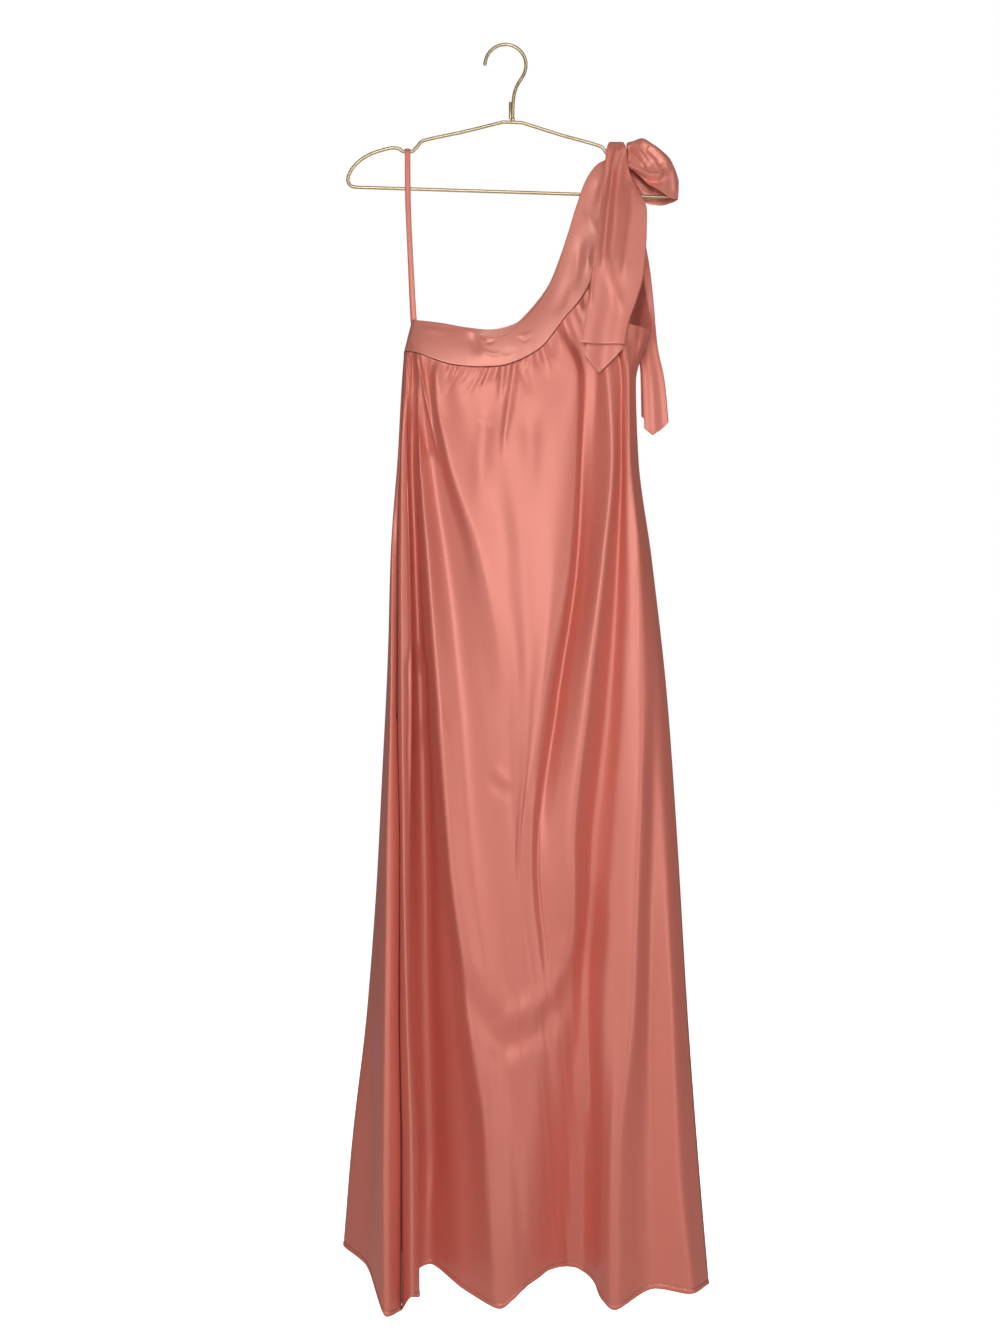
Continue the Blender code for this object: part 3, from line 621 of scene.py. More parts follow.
backFolds = (
    frontFolds[-1]._replace(top=0.0),
    Fold("right turn", 1.2, (164, 165, 181, 201, 214, 225, 236),
         (10, 11, 12, 13, 14, 16, 18), (248, 20, -1575), 1),
    Fold("right back ridge", 2.6, (154, 153, 166, 178, 187, 194, 200),
         (20, 22, 26, 31, 38, 46, 54), (206, 60, -1570), 2),
    Fold("right back dip", 4.0, (140, 136, 144, 151, 156, 160, 165),
         (17, 16, 19, 22, 27, 31, 33), (168, 36, -1564), 1),
    Fold("shoulder ridge", 5.2, (124, 118, 122, 123, 124, 126, 128),
         (22, 26, 34, 45, 58, 70, 82), (129, 90, -1572), 2),
    Fold("shoulder dip", 6.8, (104, 99, 100, 95, 90, 85, 80),
         (19, 18, 20, 22, 24, 27, 30), (78, 32, -1561), 2),
    Fold("right middle ridge", 8.0, (82, 78, 77, 72, 64, 56, 48),
         (27, 30, 35, 41, 48, 56, 64), (44, 70, -1569), 2),
    Fold("right middle dip", 8.7, (58, 54, 51, 48, 40, 31, 22),
         (23, 20, 25, 31, 38, 44, 49), (18, 53, -1565), 2),
    Fold("middle ridge", 9.6, (30, 27, 24, 18, 7, -4, -15),
         (29, 32, 41, 53, 66, 79, 92), (-21, 101, -1572), 2),
    Fold("middle dip", 10.4, (2, 0, -5, -14, -27, -40, -52),
         (24, 22, 23, 25, 27, 30, 33), (-60, 35, -1559), 2),
    Fold("left middle ridge", 11.2, (-26, -29, -35, -44, -58, -70, -82),
         (28, 31, 36, 42, 49, 56, 62), (-91, 68, -1567), 2),
    Fold("left middle dip", 12.0, (-55, -58, -65, -72, -82, -93, -104),
         (23, 20, 22, 27, 33, 39, 43), (-112, 45, -1561), 2),
    Fold("left back ridge", 12.8, (-82, -86, -93, -100, -110, -122, -134),
         (25, 28, 35, 45, 56, 67, 79), (-142, 86, -1568), 2),
    Fold("left back dip", 13.5, (-106, -110, -117, -126, -138, -152, -165),
         (17, 16, 17, 19, 22, 24, 28), (-172, 30, -1554), 1),
    Fold("left back", 14.3, (-124, -128, -136, -144, -158, -170, -188),
         (13, 15, 17, 20, 26, 32, 38), (-198, 44, -1549), 1),
    Fold("left turn", 15.0, (-131, -137, -146, -153, -163, -177, -199),
         (5, 6, 4, 3, 4, 8, 13), (-209, 18, -1540), 1),
    Fold("left groove", 15.5, (-132.5, -138, -147, -151, -160, -168, -171),
         (1, -2, -5, -9, -13, -18, -24), (-177, -30, -1551), 1),
    Fold("left lobe", 15.8, (-132.5, -137, -144, -145, -148, -149, -150),
         (-3, -7, -20, -36, -52, -64, -76), (-148, -86, -1599), 1),
    frontFolds[0]._replace(top=16.0),
)

panels = {
    "wall": 0.7,
    "finer": 4,
    "rows": 176,
    "rowBias": 1.45,
    "edgeFade": 6,
    "seamGap": 0.05,
    "topGap": 0.8,
    "topDitch": 0.9,
    "easedColumns": 4,
    "leastSlant": 0.3,
    "gatherDepth": 1.3,
    "gatherStart": 6.0,
    "gatherLength": 24.0,
    "gatherFades": (0.02, 0.6),
    "longFades": (0.06, 0.12),
    "roughLength": 1200,
    "hemRows": (1.5, 1.12, 1.0, 0.88, 0.5, 0.16, 0),
    "hemDepth": 6.5,
    "hemRise": (0.5, 0.8),
    "hemGroove": (0.35, 1.1),
    "hemRoll": (0.5, 1.2),
    "frontRipple": (7, 0.5),
    "backRipple": (23, 0.6),
    "frontArmhole": ((109, -20, -302), (119, -24, -319), (136, -28, -341), (155, -26, -357),
                     (174, -16, -361), (188, -1, -362)),
    "backArmhole": ((188, -1, -362), (181, 12, -312), (174, 18, -267), (162, 15, -222),
                    (146, 10, -180)),
}

zipSizes = {
    "top": -400,
    "end": -860,
    "half": 1.9,
    "open": 0.75,
    "reach": 1.2,
    "depth": 1.2,
    "coilPitch": 1.6,
    "coilHalf": 0.75,
    "coilWire": 0.3,
    "tapeWall": 0.6,
    "tapeColumns": 8,
}

# the gathers that show under the front band, then the creases further down
gatherMarks = (
    (((-69, -411), (-72, -420), (-78, -430)), 2.2, 0.8),
    (((-62, -412), (-66, -424), (-73, -440)), 2.4, -1.0),
    (((-58, -413), (-64, -427), (-73, -445), (-80, -458)), 2.4, 1.4),
    (((-48, -414), (-53, -426), (-60, -440)), 2.4, -1.3),
    (((-38, -414), (-42, -424), (-47, -436)), 2.2, 1.1),
    (((-29, -414), (-36, -428), (-46, -446), (-54, -460)), 2.6, 1.6),
    (((-24, -414), (-29, -428), (-36, -442)), 2.3, -1.5),
    (((-18, -414), (-24, -428), (-33, -448)), 2.3, 1.3),
    (((-10, -413), (-13, -424), (-18, -438)), 2.2, -1.4),
    (((-3, -412), (-4, -424), (-6, -444), (-9, -465)), 2.4, 1.7),
    (((4, -410), (3, -424), (1, -442)), 2.4, -1.6),
    (((12.5, -407), (10, -424), (6, -452), (-1, -500), (-4, -540)), 3.2, 3.2),
    (((17, -405), (21, -420), (27, -436), (30, -452)), 3.0, -2.6),
    (((22.5, -402), (22, -412), (20, -424)), 2.2, 1.5),
    (((28, -400), (27, -412), (25, -426)), 2.2, -1.5),
    (((32.5, -397), (34, -410), (36, -424)), 2.2, 1.5),
    (((39, -393), (41, -406), (43, -420)), 2.4, -1.3),
    (((46, -388), (49, -400), (54, -416), (58, -432)), 2.6, 1.6),
    (((54, -379), (58, -392), (64, -410)), 2.6, -1.3),
    (((64, -366), (68, -380), (73, -398)), 2.8, 1.3),
    (((72, -354), (77, -368), (83, -386)), 2.8, -1.1),
    (((92, -331), (95, -340), (100, -354)), 2.6, 1.3),
    (((98, -322), (101, -332), (105, -346)), 2.4, -1.4),
    (((104, -311), (107, -322), (112, -336)), 2.4, 1.2),
)
longMarks = (
    (((-113, -393), (-109, -415), (-101, -450), (-91, -490), (-80, -540)), 3.4, 5.0),
    (((-119, -396), (-116, -430), (-108, -475), (-97, -530)), 4.5, -4.5),
    (((-117, -400), (-114, -440), (-110, -500), (-108, -560)), 1.8, 1.8),
    (((-119, -430), (-118, -525), (-114, -655), (-109, -835), (-106, -1035), (-103, -1225),
      (-98, -1420), (-96, -1550)), 6.5, -8.0),
    (((-112, -760), (-108, -900), (-102, -1100), (-94, -1300), (-88, -1500)), 13, -9.0),
    (((-87, -836), (-81, -938), (-69, -1065), (-44, -1165), (-3, -1236), (33, -1222),
      (59, -1196), (88, -1130), (95, -1062), (97, -990)), 15, 3.6),
    (((-104, -860), (-98, -950), (-86, -1080), (-60, -1190), (-4, -1268), (44, -1250),
      (76, -1216), (106, -1140), (113, -1060)), 17, -4.2),
    (((-18, -1268), (-20, -1340), (-26, -1400), (-20, -1470), (-10, -1560)), 9, 2.4),
)
frontMarks = (
    (((52, -900), (45, -960), (42, -1035), (50, -1130), (60, -1225), (70, -1360)), 10, 5.0),
    (((-103, -404), (-97, -428), (-86, -462), (-72, -505)), 7.0, -1.6),
    (((-36, -478), (-29, -484), (-22, -485), (-15, -479)), 2.6, 0.8),
    (((-35, -483), (-28, -489), (-20, -489)), 3.0, -0.6),
    (((-20, -440), (-30, -520), (-36, -620)), 11, -1.8),
    (((30, -450), (32, -520), (30, -600)), 13, -2.2),
    (((-26, -930), (-4, -948), (12, -953), (24, -956)), 6.0, -1.8),
    (((-24, -921), (-2, -938), (14, -945)), 7.0, 1.4),
    (((12, -956), (22, -962), (33, -967)), 2.4, -1.5),
    (((28, -964), (31, -975), (30, -990)), 3.0, 1.2),
    (((-22, -1222), (-6, -1234), (8, -1236)), 10, -1.8),
    (((15, -1220), (17, -1265), (17, -1312)), 1.8, -0.7),
    (((-26, -1380), (-20, -1440), (-13, -1500)), 3.6, -1.3),
    (((-18, -1420), (-12, -1470), (-9, -1530)), 3.2, 1.2),
    (((190, -1490), (196, -1518), (206, -1546)), 4.0, -1.6),
    (((184, -1500), (180, -1532), (172, -1556)), 4.5, 1.2),
    (((188, -358), (176, -380), (165, -402), (160, -440)), 6.0, 3.0),
    (((166, -372), (160, -398), (152, -425)), 6.5, -2.4),
    (((122, -332), (120, -372), (121, -420)), 7.0, -2.2),
    (((142, -352), (146, -380), (150, -410)), 5.0, 1.5),
    (((170, -900), (176, -1000), (180, -1120)), 9.0, 1.2),
    (((110, -1050), (118, -1150), (122, -1250)), 10, -1.5),
)
backMarks = (
    (((-96, -386), (-99, -402), (-104, -424)), 2.8, 1.4),
    (((-70, -389), (-74, -406), (-80, -430)), 2.8, -1.4),
    (((-46, -393), (-48, -410), (-52, -434)), 2.6, 1.5),
    (((-32, -395), (-33, -412), (-36, -438)), 2.6, -1.5),
    (((-14, -395), (-15, -414), (-17, -440)), 2.8, 1.8),
    (((0, -393), (1, -410), (3, -432)), 2.6, -1.6),
    (((16, -390), (18, -408), (22, -436)), 2.8, 1.6),
    (((34, -380), (37, -398), (42, -424)), 2.8, -1.5),
    (((52, -367), (56, -386), (62, -412)), 3.0, 1.5),
    (((72, -344), (77, -364), (84, -392)), 3.0, -1.3),
    (((94, -316), (99, -338), (106, -368)), 3.2, 1.4),
    (((60, -760), (66, -768), (76, -770)), 4.0, -1.4),
    (((-40, -900), (-30, -914), (-16, -918)), 6.0, -1.6),
    (((110, -1080), (120, -1094), (134, -1098)), 7.0, -1.5),
    (((-90, -1240), (-80, -1256), (-64, -1260)), 7.0, 1.4),
)


def columnStations(folds):
    stations = [0.0]
    for index, fold in enumerate(folds[:-1]):
        steps = 2 * fold.pleats * panels["finer"]
        stations += [index + step / steps for step in range(1, steps + 1)]
    return np.array(stations)


def foldLines(folds, drops, edge):
    lines = []
    for fold in folds:
        top = edge(np.array([fold.top]))[0]
        heights = [top[2], *levels, fold.hem[2]]
        across = [top[0], *fold.x, fold.hem[0]]
        forward = [top[1], *fold.y, fold.hem[1]]
        z = top[2] + (fold.hem[2] - top[2]) * drops
        xy = glide(-np.array(heights), np.column_stack([across, forward]), -z)
        lines.append(np.column_stack([xy, z]))
    return np.array(lines)


def drape(folds, edge):
    stations = columnStations(folds)
    drops = (np.arange(panels["rows"] + 1) / panels["rows"]) ** panels["rowBias"]
    fine = 1 - np.array(panels["hemRows"]) * (panels["hemDepth"] / panels["roughLength"])
    drops = np.concatenate([drops[drops < fine[0]], fine])
    lines = foldLines(folds, drops, edge)
    knots = np.arange(len(folds))
    tops = np.interp(stations, knots, [fold.top for fold in folds])
    seam = edge(tops)
    sheet = np.array([glide(knots, lines[:, row], stations) for row in range(len(drops))])
    slip = seam - sheet[0]
    sheet += slip[None] * ((1 - drops) ** panels["edgeFade"])[:, None, None]
    between = np.sin(np.pi / 2 * np.arange(len(stations)) / panels["finer"]) ** 2
    fall = seam[:, 2][None] - sheet[:, :, 2]
    depth = (1 - np.exp(-fall / panels["gatherStart"])) * np.exp(-fall / panels["gatherLength"])
    sheet[:, :, 1] -= np.sign(seam[:, 1])[None] * panels["gatherDepth"] * depth * between[None]
    return sheet


def frontEdge(places):
    corner = bands["frontCorner"]
    onBand = curveAt([row[0] for row in bands["front"]], np.clip(places, 0, corner))
    armhole = panels["frontArmhole"]
    onArm = curveAt(armhole, np.clip(places - corner, 0, len(armhole) - 1))
    return np.where((places <= corner)[:, None], onBand, onArm)


def backEdge(places):
    corner, shoulder = bands["backCorner"], bands["backShoulder"]
    onArm = curveAt(panels["backArmhole"], np.clip(places, 0, corner))
    bandPlaces = np.clip(shoulder + corner - places, 0, shoulder)
    onBand = curveAt([row[0] for row in bands["back"]], bandPlaces)
    return np.where((places <= corner)[:, None], onArm, onBand)


def cutSeam(one, other, gaps):
    seam = one[:, 0].copy()
    along = unit(np.gradient(seam, axis=0))
    inwards = []
    for sheet in (one, other):
        inward = unit(sheet[:, panels["finer"]] - seam)
        slant = np.linalg.norm(np.cross(inward, along), axis=1)
        inwards.append(squareTo(inward, along))
        drawBack(sheet, gaps / np.maximum(slant, panels["leastSlant"]),
                 panels["easedColumns"] * panels["finer"])
    return seam, *inwards


def dropTop(sheet):
    along = unit(np.gradient(sheet[0], axis=0))
    sheet[:2] += squareTo(sheet[2] - sheet[0], along)[None] * panels["topGap"]
    sheet[0, :, 1] -= np.sign(sheet[0, :, 1]) * panels["topDitch"]


def turnHem(sheet):  # the turned hem stands out a little and pulls in at its stitches
    up = heightsAbove(sheet)
    depth = panels["hemDepth"]
    rise, riseLength = panels["hemRise"]
    groove, grooveWidth = panels["hemGroove"]
    roll, rollLength = panels["hemRoll"]
    relief = (rise * np.clip((depth - up) / riseLength, 0, 1)
              - groove * np.exp(-((up - depth) / grooveWidth) ** 2)
              - roll * np.clip(1 - up / rollLength, 0, 1) ** 2)
    sheet += outward(sheet) * relief[:, :, None]


front = drape(frontFolds, frontEdge)
back = drape(backFolds, backEdge)
zipRows = (front[:, 0, 2] > zipSizes["end"]) & (front[:, 0, 2] < zipSizes["top"])
cutSeam(front[:, ::-1], back, np.full(len(front), panels["seamGap"]))
zipGaps = np.where(zipRows, zipSizes["half"] * zipSizes["open"], panels["seamGap"])
seam, inFront, inBack = cutSeam(front, back[:, ::-1], zipGaps)
ripple(front, *panels["frontRipple"])
ripple(back, *panels["backRipple"])
crease(front, gatherMarks, -1, panels["gatherFades"])
crease(front, longMarks, -1, panels["longFades"])
crease(front, frontMarks, -1)
crease(back, backMarks, 1)
turnHem(front)
turnHem(back)
dropTop(front)
dropTop(back)
frontPanel = addCloth("front_panel_cloth", front, panels["wall"], hemmedSatin, "front_panel")
backPanel = addCloth("back_panel_cloth", back, panels["wall"], hemmedSatin, "back_panel")
print("panels hung")


# the zip, deep between the two edges of the side seam

def addZip():
    rows = np.flatnonzero(zipRows)
    inward = unit(np.cross(inFront - inBack, np.gradient(seam, axis=0))[rows])
    middle = seam[rows] + inward * zipSizes["depth"]
    lips = [seam[rows] + inBack[rows] * zipSizes["reach"], middle,
            seam[rows] + inFront[rows] * zipSizes["reach"]]
    shares = np.linspace(0, 2, zipSizes["tapeColumns"] + 1)
    tape = np.stack([curveAt(np.array(strip), shares) for strip in zip(*lips)])
    addCloth("side_zip_tape", tape, zipSizes["tapeWall"], zipTape, "side_zip")
    lengths = totals(np.linalg.norm(np.diff(middle, axis=0), axis=1))
    places = np.arange(0, lengths[-1], zipSizes["coilPitch"] / 2)
    across = unit(onPath((inFront - inBack)[rows], lengths, places))
    turn = np.where(np.arange(len(places)) % 2, 1, -1)[:, None] * zipSizes["coilHalf"]
    coil = onPath(middle, lengths, places) + across * turn
    coil -= onPath(inward, lengths, places) * zipSizes["coilWire"]
    finishPiece(addTube("side_zip_coil", coil, zipSizes["coilWire"], 1, False), zipTape)


addZip()
print("zip set in")

# the ties: height, left edge, right edge and depth of the outer layer at each section

ties = {
    "wall": 0.9,
    "rowsPerSection": 12,
    "columns": 90,
    "fold": 8 / 15,
    "turn": 9 / 15,
    "waves": 1.5,
    "underWidth": 0.9,
    "gaps": (4.4, 6.4),
    "endFade": 6,
    "front": (
        (-122.6, 131, 152, -1.0), (-125, 130, 152.5, -8),
        (-133, 128.5, 153, -13.5), (-148, 127, 154, -16.5),
        (-169, 126, 158, -19), (-189, 123, 167, -22),
        (-215, 120, 178, -27), (-254, 114, 177, -32),
        (-300, 108, 173, -37), (-332, 104, 164, -39),
        (-360, 100, 154, -40.5), (-386, 95, 149, -42),
    ),
    "back": (
        (-122.6, 131, 152, 1.0), (-125, 130, 152.5, 8),
        (-133, 129, 153, 13.5), (-148, 128, 153.5, 17),
        (-185, 130, 158, 27), (-229, 138, 176, 36),
        (-275, 146, 186, 40), (-318, 156, 191, 41),
        (-377, 171, 196, 38), (-423, 175, 205, 34),
        (-474, 176, 210, 33),
    ),
    "frontEnd": (-1, 1, 1, 1, 2, 20, 37, 14),
    "backEnd": (-4, 2, 3, 1, 3, 14, 21, 12),
    "frontRipple": 0.9,
    "backRipple": 0.8,
    "pinch": (3.6, 5.0),
    "bulge": 0.3,
    "roundedEdge": 0.25,
    "fades": (0.1, 0.3),
}

tieMarks = {
    "front": (
        (((150, -125), (143, -140), (137, -162), (131, -200), (126, -250), (120, -310)), 4.6, 2.8),
        (((152, -130), (147, -150), (143, -180), (139, -230), (133, -290)), 6.5, -2.6),
        (((139, -126), (134, -145), (130, -172), (126, -210)), 3.0, -1.4),
        (((147, -126), (141, -146), (135, -172)), 2.2, -1.3),
        (((160, -176), (160, -215), (154, -262), (146, -320)), 6.5, 2.2),
        (((126, -270), (132, -300), (141, -330), (150, -352)), 6.0, 1.5),
        (((112, -262), (110, -300), (106, -345)), 2.6, 1.6),
    ),
    "back": (
        (((149, -128), (145, -150), (143, -185)), 3.2, 1.5),
        (((136, -130), (136, -160), (140, -200)), 3.2, -1.4),
        (((160, -250), (168, -300), (178, -370), (184, -450)), 5.5, -2.0),
        (((176, -270), (184, -330), (192, -400), (197, -460)), 4.5, 1.8),
    ),
}


def addTie(which, side):
    sections = ties[which]
    places = np.linspace(0, len(sections) - 1, (len(sections) - 1) * ties["rowsPerSection"] + 1)
    heights, left, right, depth = curveAt(sections, places).T
    path = np.gradient(np.stack([depth, heights], axis=1), axis=0)
    path[0, 1] = 0
    inward = unit(path)[:, ::-1] * (side, -side)
    fall = (places / places[-1])[:, None]
    across = np.linspace(0, 1, ties["columns"] + 1)[None]
    fold, turn = ties["fold"], ties["turn"]
    under = np.clip((across - turn) / (1 - turn), 0, 1)
    share = np.where(across <= fold, across / fold, 1 - under * ties["underWidth"])
    bend = np.clip((across - fold) / (turn - fold), 0, 1) * np.pi
    gaps = ties["gaps"]
    gap = (gaps[0] + (gaps[1] - gaps[0]) * fall) * (1 - np.cos(bend)) / 2
    wave = ties[f"{which}Ripple"] * np.sin(share * math.tau * ties["waves"]) * np.sin(fall * np.pi / 2)
    end = ties[f"{which}End"]
    ends = np.interp(across[0], np.linspace(0, 1, len(end)), end)[None]
    bulge = np.sin(bend) * gaps[0] * ties["bulge"]
    pinch = ties["pinch"][0] * np.exp((heights - heights[0])[:, None] / ties["pinch"][1])
    x = left[:, None] + (right - left)[:, None] * share + bulge + pinch * (1 - 2 * share)
    y = depth[:, None] + side * wave + inward[:, :1] * gap
    z = heights[:, None] + inward[:, 1:] * gap - fall ** ties["endFade"] * ends
    sheet = np.stack([x, y, z], axis=2)[:, ::-side].copy()
    crease(sheet, tieMarks[which], side, ties["fades"])
    return addCloth(f"{which}_tie_cloth", sheet, ties["wall"], tieSatin,
                    f"tie_{which}_tail", ties["roundedEdge"])


frontTie = addTie("front", -1)
backTie = addTie("back", 1)

# the bow's loop: hoods over the hanger's end, each by its ridge, front foot and back foot

bow = {
    "wall": 0.9,
    "rows": 84,
    "columns": 110,
    "arch": 0.9,
    "spread": 0.8,
    "hoods": (
        ((155, 0, -124), (156, -15, -157), (157, 14, -158)),
        ((164, -2, -122), (168, -20, -169), (168, 18, -176)),
        ((174, -3, -119), (180, -23, -180), (180, 20, -196)),
        ((187, -3, -126), (191, -22, -187), (192, 20, -199)),
        ((199, -2, -134), (201, -18, -192), (203, 17, -200)),
        ((210, -1, -144), (209, -12, -196), (210, 12, -199)),
        ((218, 0, -160), (216, -7, -197), (216, 7, -198)),
        ((222, 0, -173), (221, -2.4, -195), (221, 2.4, -196)),
    ),
    "frontMarks": (
        (((155, -131), (162, -137), (174, -149), (188, -167)), 3.8, -4.8),
        (((160, -127), (174, -136), (185, -152), (192, -165)), 3.4, -2.6),
        (((158, -128), (168, -139), (181, -156)), 3.2, 2.4),
        (((157, -138), (166, -147), (178, -160)), 2.6, 3.2),
        (((155, -154), (168, -163), (182, -171), (194, -170), (205, -160)), 3.4, 5.2),
        (((157, -162), (170, -171), (184, -178), (197, -178), (209, -168)), 3.2, -4.8),
        (((160, -168), (172, -178), (186, -187), (200, -193)), 2.4, 3.0),
        (((172, -124), (190, -135), (204, -150), (210, -168)), 5.0, 3.2),
        (((180, -134), (193, -146), (199, -160)), 4.0, -3.4),
        (((213, -160), (215, -176), (216, -190)), 3.0, 2.0),
    ),
    "backMarks": (
        (((156, -134), (168, -144), (184, -160)), 3.0, -2.6),
        (((156, -144), (170, -156), (188, -178)), 3.6, 2.0),
        (((170, -130), (188, -142), (200, -162)), 4.5, 1.8),
        (((158, -156), (172, -168), (190, -186)), 3.6, -2.0),
    ),
    "knotCentre": (141.5, 0.0, -132.3),
    "knotHalf": (11.0, 6.0, 3.7),
    "frontFades": (0.05, 0.25),
    "backFades": (0.05, 0.3),
    "roundedEdge": 0.25,
    "knotSize": 0.97,
    "knotWraps": 5,
    "knotWrapDepth": 0.05,
    "knotWrapLean": 1.5,
}


def addBow():
    places = np.linspace(0, len(bow["hoods"]) - 1, bow["rows"] + 1)
    ridge, front, back = (curveAt(points, places) for points in zip(*bow["hoods"]))
    turns = np.linspace(0, math.pi, bow["columns"] + 1)[:, None, None]
    edge = np.where(turns < math.pi / 2, front[None], back[None])
    arch = np.sin(turns) ** bow["arch"]
    spread = np.abs(np.cos(turns)) ** bow["spread"]
    sheet = edge + (ridge[None] - edge) * arch
    sheet[:, :, 1] = ridge[None, :, 1] + (edge[:, :, 1] - ridge[None, :, 1]) * spread[:, :, 0]
    sheet = sheet[::-1].copy()
    crease(sheet, bow["frontMarks"], -1, bow["frontFades"])
    crease(sheet, bow["backMarks"], 1, bow["backFades"])
    return addCloth("bow_loop_cloth", sheet, bow["wall"], bowSatin, "tie_bow_loop",
                    bow["roundedEdge"])


def addKnot():
    bpy.ops.mesh.primitive_uv_sphere_add(segments=72, ring_count=40, radius=1)
    knot = bpy.context.object
    knot.name = knot.data.name = "knot_wrap"
    for vert in knot.data.vertices:
        turn = vert.co.x * bow["knotWraps"] * math.pi + vert.co.y * bow["knotWrapLean"]
        wrap = 1 + bow["knotWrapDepth"] * math.cos(turn)
        vert.co = [(centre + half * along * wrap * bow["knotSize"]) * mm
                   for centre, half, along in zip(bow["knotCentre"], bow["knotHalf"], vert.co)]
    bpy.ops.object.shade_smooth()
    finishPiece(knot, tieSatin, "tie_knot")


bowLoop = addBow()
addKnot()
print("bow tied")

# the ribbon loop over the hanger's other notch

ribbon = {
    "wall": 0.6,
    "width": 7.0,
    "rows": 220,
    "columns": 8,
    "cup": 1.6,
    "cupStart": 140,
    "cupEase": 20,
    "path": (
        (-116, -0.6, -360), (-117.2, -3.4, -347), (-121.5, -4.6, -270), (-125, -3.8, -190),
        (-125.4, -3.7, -140),
        (-125.4, -3.2, -133.6), (-125.4, -1.7, -131.7), (-125.4, 0, -131.1), (-125.4, 1.7, -131.7),
        (-125.4, 3.2, -133.6), (-125.4, 3.7, -140), (-125, 3.8, -190), (-122, 4.6, -270),
        (-118.6, 3.4, -346), (-117.6, 1.0, -359),
    ),
}


def addRibbon():
    places = np.linspace(0, len(ribbon["path"]) - 1, ribbon["rows"] + 1)
    middle = curveAt(ribbon["path"], places)
    shares = np.linspace(-0.5, 0.5, ribbon["columns"] + 1)
    strip = middle[:, None] + shares[None, :, None] * np.array([ribbon["width"], 0, 0])
    cup = (0.25 - shares ** 2)[None] * np.sign(middle[:, 1])[:, None]
    ease = np.clip((-middle[:, 2] - ribbon["cupStart"]) / ribbon["cupEase"], 0, 1)
    strip[:, :, 1] += cup * ease[:, None] * ribbon["cup"]
    return addCloth("ribbon_loop", strip[:, ::-1], ribbon["wall"], ribbonSatin, "hanger_loop")


ribbonLoop = addRibbon()
print("ribbon hung")

# the hanger, told from the middle of its apex before it tilts

hanger = {
    "wire": 4.4,
    "hookRadius": 26.2,
    "hookStart": 181,
    "hookEnd": -8,
    "hookNeck": ((24.6, -33), (21.5, -39.5), (17.4, -45.8), (13.8, -52.8), (11.2, -61), (10, -70),
                 (9.4, -80), (9.2, -92.6)),
    "stubPlace": (6.4, 3.6, -92.4),
    "stubLength": 22,
    "apex": (9.0, -94.4),
    "tilt": 1.8,
    "halfFrame": ((12, -3), (60, -16.5), (116, -31.5), (121, -38), (127, -44), (133, -45.5),
                  (139, -44.5), (145, -41), (152, -40.5), (175, -47), (193, -57.5), (204.5, -71),
                  (208.3, -82), (205.5, -89.5), (196, -92.3), (100, -92.3)),
    "framePoints": 150,
    "hookPoints": 70,
    "neckPoints": 60,
    "roundness": 4,
    "stubEdge": 0.9,
    "weldRadius": 3.1,
    "weldPlace": (9.2, 0.6, -93.6),
    "weldStretch": (0.95, 1, 1.15),
    "weldSag": 0.08,
}


def finishWire(piece, node=None):
    finishPiece(piece, wireMetal, node)


def addFrameWire():
    made = hanger
    half = curveAt(made["halfFrame"], np.linspace(0, len(made["halfFrame"]) - 1, made["framePoints"]))
    outline = [*half, *[(-x, z) for x, z in half[::-1]]]
    turn = math.radians(made["tilt"])
    apexX, apexZ = made["apex"]
    tilted = [(apexX + x * math.cos(turn) + z * math.sin(turn), 0,
               apexZ - x * math.sin(turn) + z * math.cos(turn)) for x, z in outline]
    wire = addTube("hanger_frame_wire", tilted, made["wire"] / 2, made["roundness"], True)
    finishWire(wire, "hanger_frame")


def addHook():
    made = hanger
    angles = np.radians(np.linspace(made["hookStart"], made["hookEnd"], made["hookPoints"]))
    radius = made["hookRadius"]
    middle = made["wire"] / 2 - radius
    circle = [(radius * math.cos(a), 0, middle + radius * math.sin(a)) for a in angles]
    places = np.linspace(0, len(made["hookNeck"]), made["neckPoints"])
    shank = curveAt([(circle[-1][0], circle[-1][2]), *made["hookNeck"]], places)
    neck = [(x, 0, z) for x, z in shank[1:]]
    hook = addTube("hanger_hook_wire", [*circle, *neck], made["wire"] / 2, made["roundness"], False)
    finishWire(hook, "hanger_hook")


def addStub():  # the hook's wire end, turned up beside its foot
    made = hanger
    x, y, foot = made["stubPlace"]
    bpy.ops.mesh.primitive_cylinder_add(vertices=28, radius=made["wire"] / 2 * mm,
                                        depth=made["stubLength"] * mm)
    stub = bpy.context.object
    stub.name = stub.data.name = "hanger_stub_wire"
    roundEdges(stub, made["stubEdge"], 3)
    stub.location = (x * mm, y * mm, (foot + made["stubLength"] / 2) * mm)
    bpy.ops.object.transform_apply(location=True)
    bpy.ops.object.shade_smooth_by_angle(angle=math.radians(50))
    finishWire(stub, "hanger_stub")


def addWeld():
    made = hanger
    bpy.ops.mesh.primitive_uv_sphere_add(segments=28, ring_count=16, radius=made["weldRadius"] * mm)
    weld = bpy.context.object
    weld.name = weld.data.name = "hanger_weld"
    for vert in weld.data.vertices:
        sag = 1 + made["weldSag"] * math.sin(vert.co.x / mm * 2.1) * math.cos(vert.co.z / mm * 1.7)
        vert.co = [along * stretch * wide + middle * mm for along, stretch, wide, middle in
                   zip(vert.co, made["weldStretch"], (sag, sag, 1), made["weldPlace"])]
    bpy.ops.object.shade_smooth()
    finishWire(weld)


addFrameWire()
addHook()
addStub()
addWeld()
print("hanger bent")
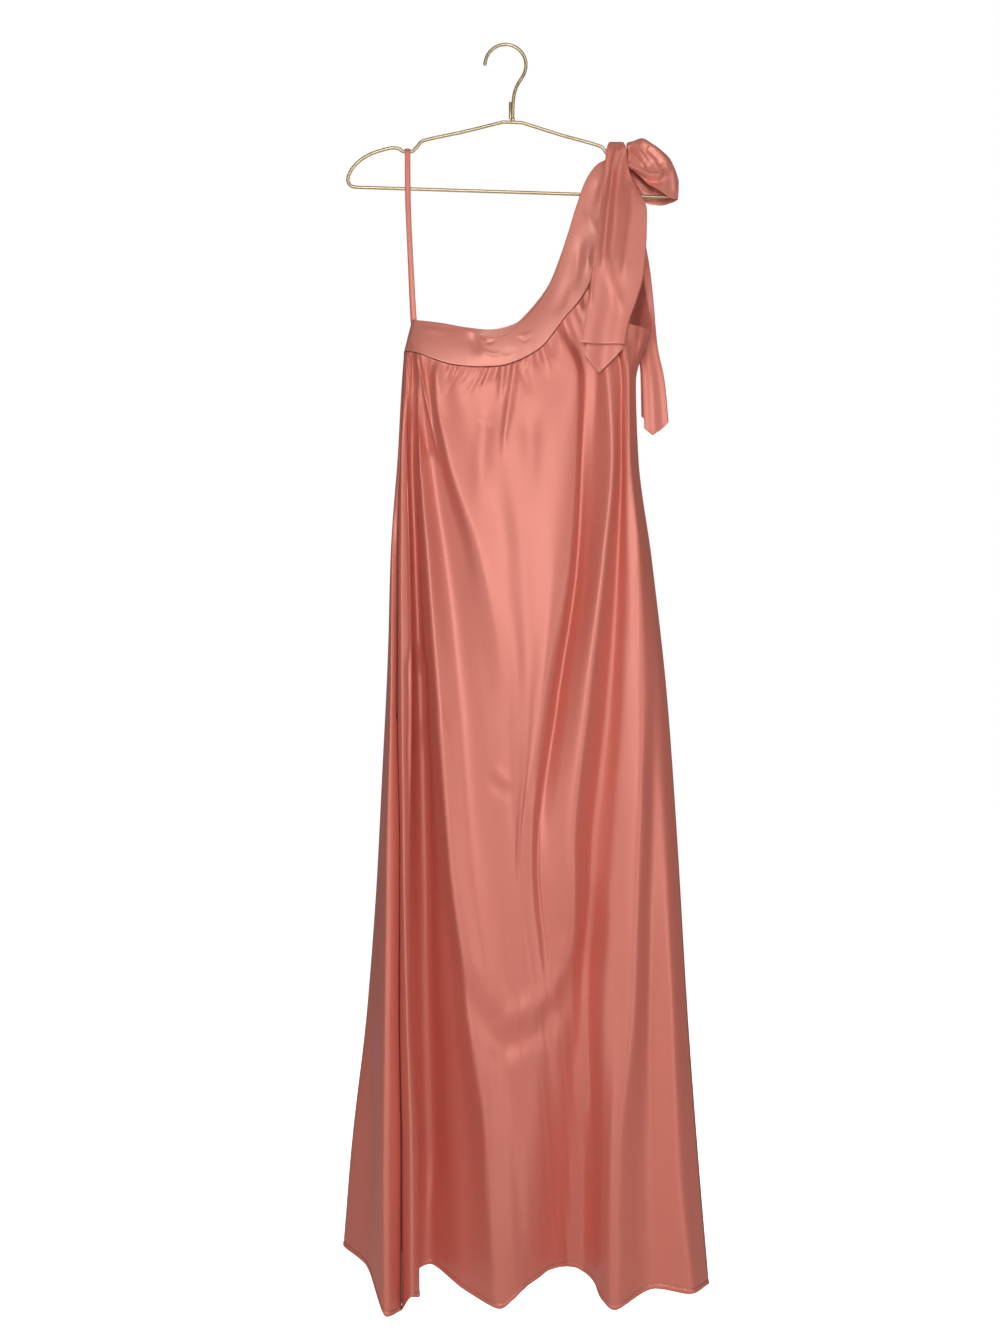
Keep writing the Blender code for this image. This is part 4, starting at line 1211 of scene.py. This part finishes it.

# floor, light and camera

studio = {
    "floorSize": 14,
    "floorDrop": 0.16,
    "floorColour": (0.80, 0.80, 0.80, 1),
    "skyForLight": 0.09,
    "skyForShine": 0.16,
    "floorSeen": 1.0,
    "floorRoughness": 0.9,
    "lampAim": (0, 0, -0.85),
    "lamps": (
        ((-0.25, -2.8, -0.2), 1.0, 30),
        ((1.6, -1.8, -1.0), 1.0, 10),
        ((-1.7, -1.8, -1.2), 1.0, 8),
        ((0.9, -1.6, 0.6), 0.6, 4),
        ((0.2, 2.7, 0.1), 1.4, 42),
        ((0.2, -0.3, 2.2), 1.2, 3),
    ),
}


def addFloor():
    low = cadBox[0].z - studio["floorDrop"]
    bpy.ops.mesh.primitive_plane_add(size=studio["floorSize"], location=(0, 0, low))
    floor = bpy.context.object
    floor.name = "studio_floor"
    material, tree, shader = newMaterial("pale floor")
    seen = addNode(tree, "ShaderNodeLightPath", {})
    setInputs(tree, shader, {
        "Base Color": studio["floorColour"],
        "Roughness": studio["floorRoughness"],
        "Emission Color": (1, 1, 1, 1),
        "Emission Strength": addMath(tree, "MULTIPLY", seen["Is Camera Ray"], studio["floorSeen"]),
    })
    floor.data.materials.append(material)
    floor.select_set(False)


def addSky():  # white to the eye, dimmer as a light
    world = bpy.data.worlds.new("studio white")
    bpy.context.scene.world = world
    world.use_nodes = True
    tree = world.node_tree
    seen = addNode(tree, "ShaderNodeLightPath", {})
    shine = addMath(tree, "MULTIPLY", seen["Is Glossy Ray"], studio["skyForShine"])
    brighter = addMath(tree, "MAXIMUM", shine, seen["Is Camera Ray"])
    setInputs(tree, tree.nodes["Background"], {
        "Color": (1, 1, 1, 1),
        "Strength": addMath(tree, "MAXIMUM", brighter, studio["skyForLight"]),
    })


def addLamps():
    middle = Vector(studio["lampAim"])
    for place, size, power in studio["lamps"]:
        bpy.ops.object.light_add(type="AREA", location=place)
        lamp = bpy.context.object
        lamp.data.size = size
        lamp.data.energy = power
        lamp.rotation_euler = (middle - Vector(place)).to_track_quat("-Z", "Y").to_euler()
        lamp.select_set(False)


def addCamera():
    place = (view["aimX"] * mm, -view["distance"] * mm, view["aimZ"] * mm)
    bpy.ops.object.camera_add(location=place, rotation=(math.pi / 2, 0, 0))
    camera = bpy.context.object
    camera.data.sensor_width = view["sensor"]
    camera.data.lens = view["sensor"] * view["distance"] / (view["pixelsHigh"] * view["pixelSize"])
    bpy.context.scene.camera = camera
    camera.select_set(False)


addFloor()
addSky()
addLamps()
addCamera()
bpy.context.scene.view_settings.view_transform = "Standard"
print("studio set")
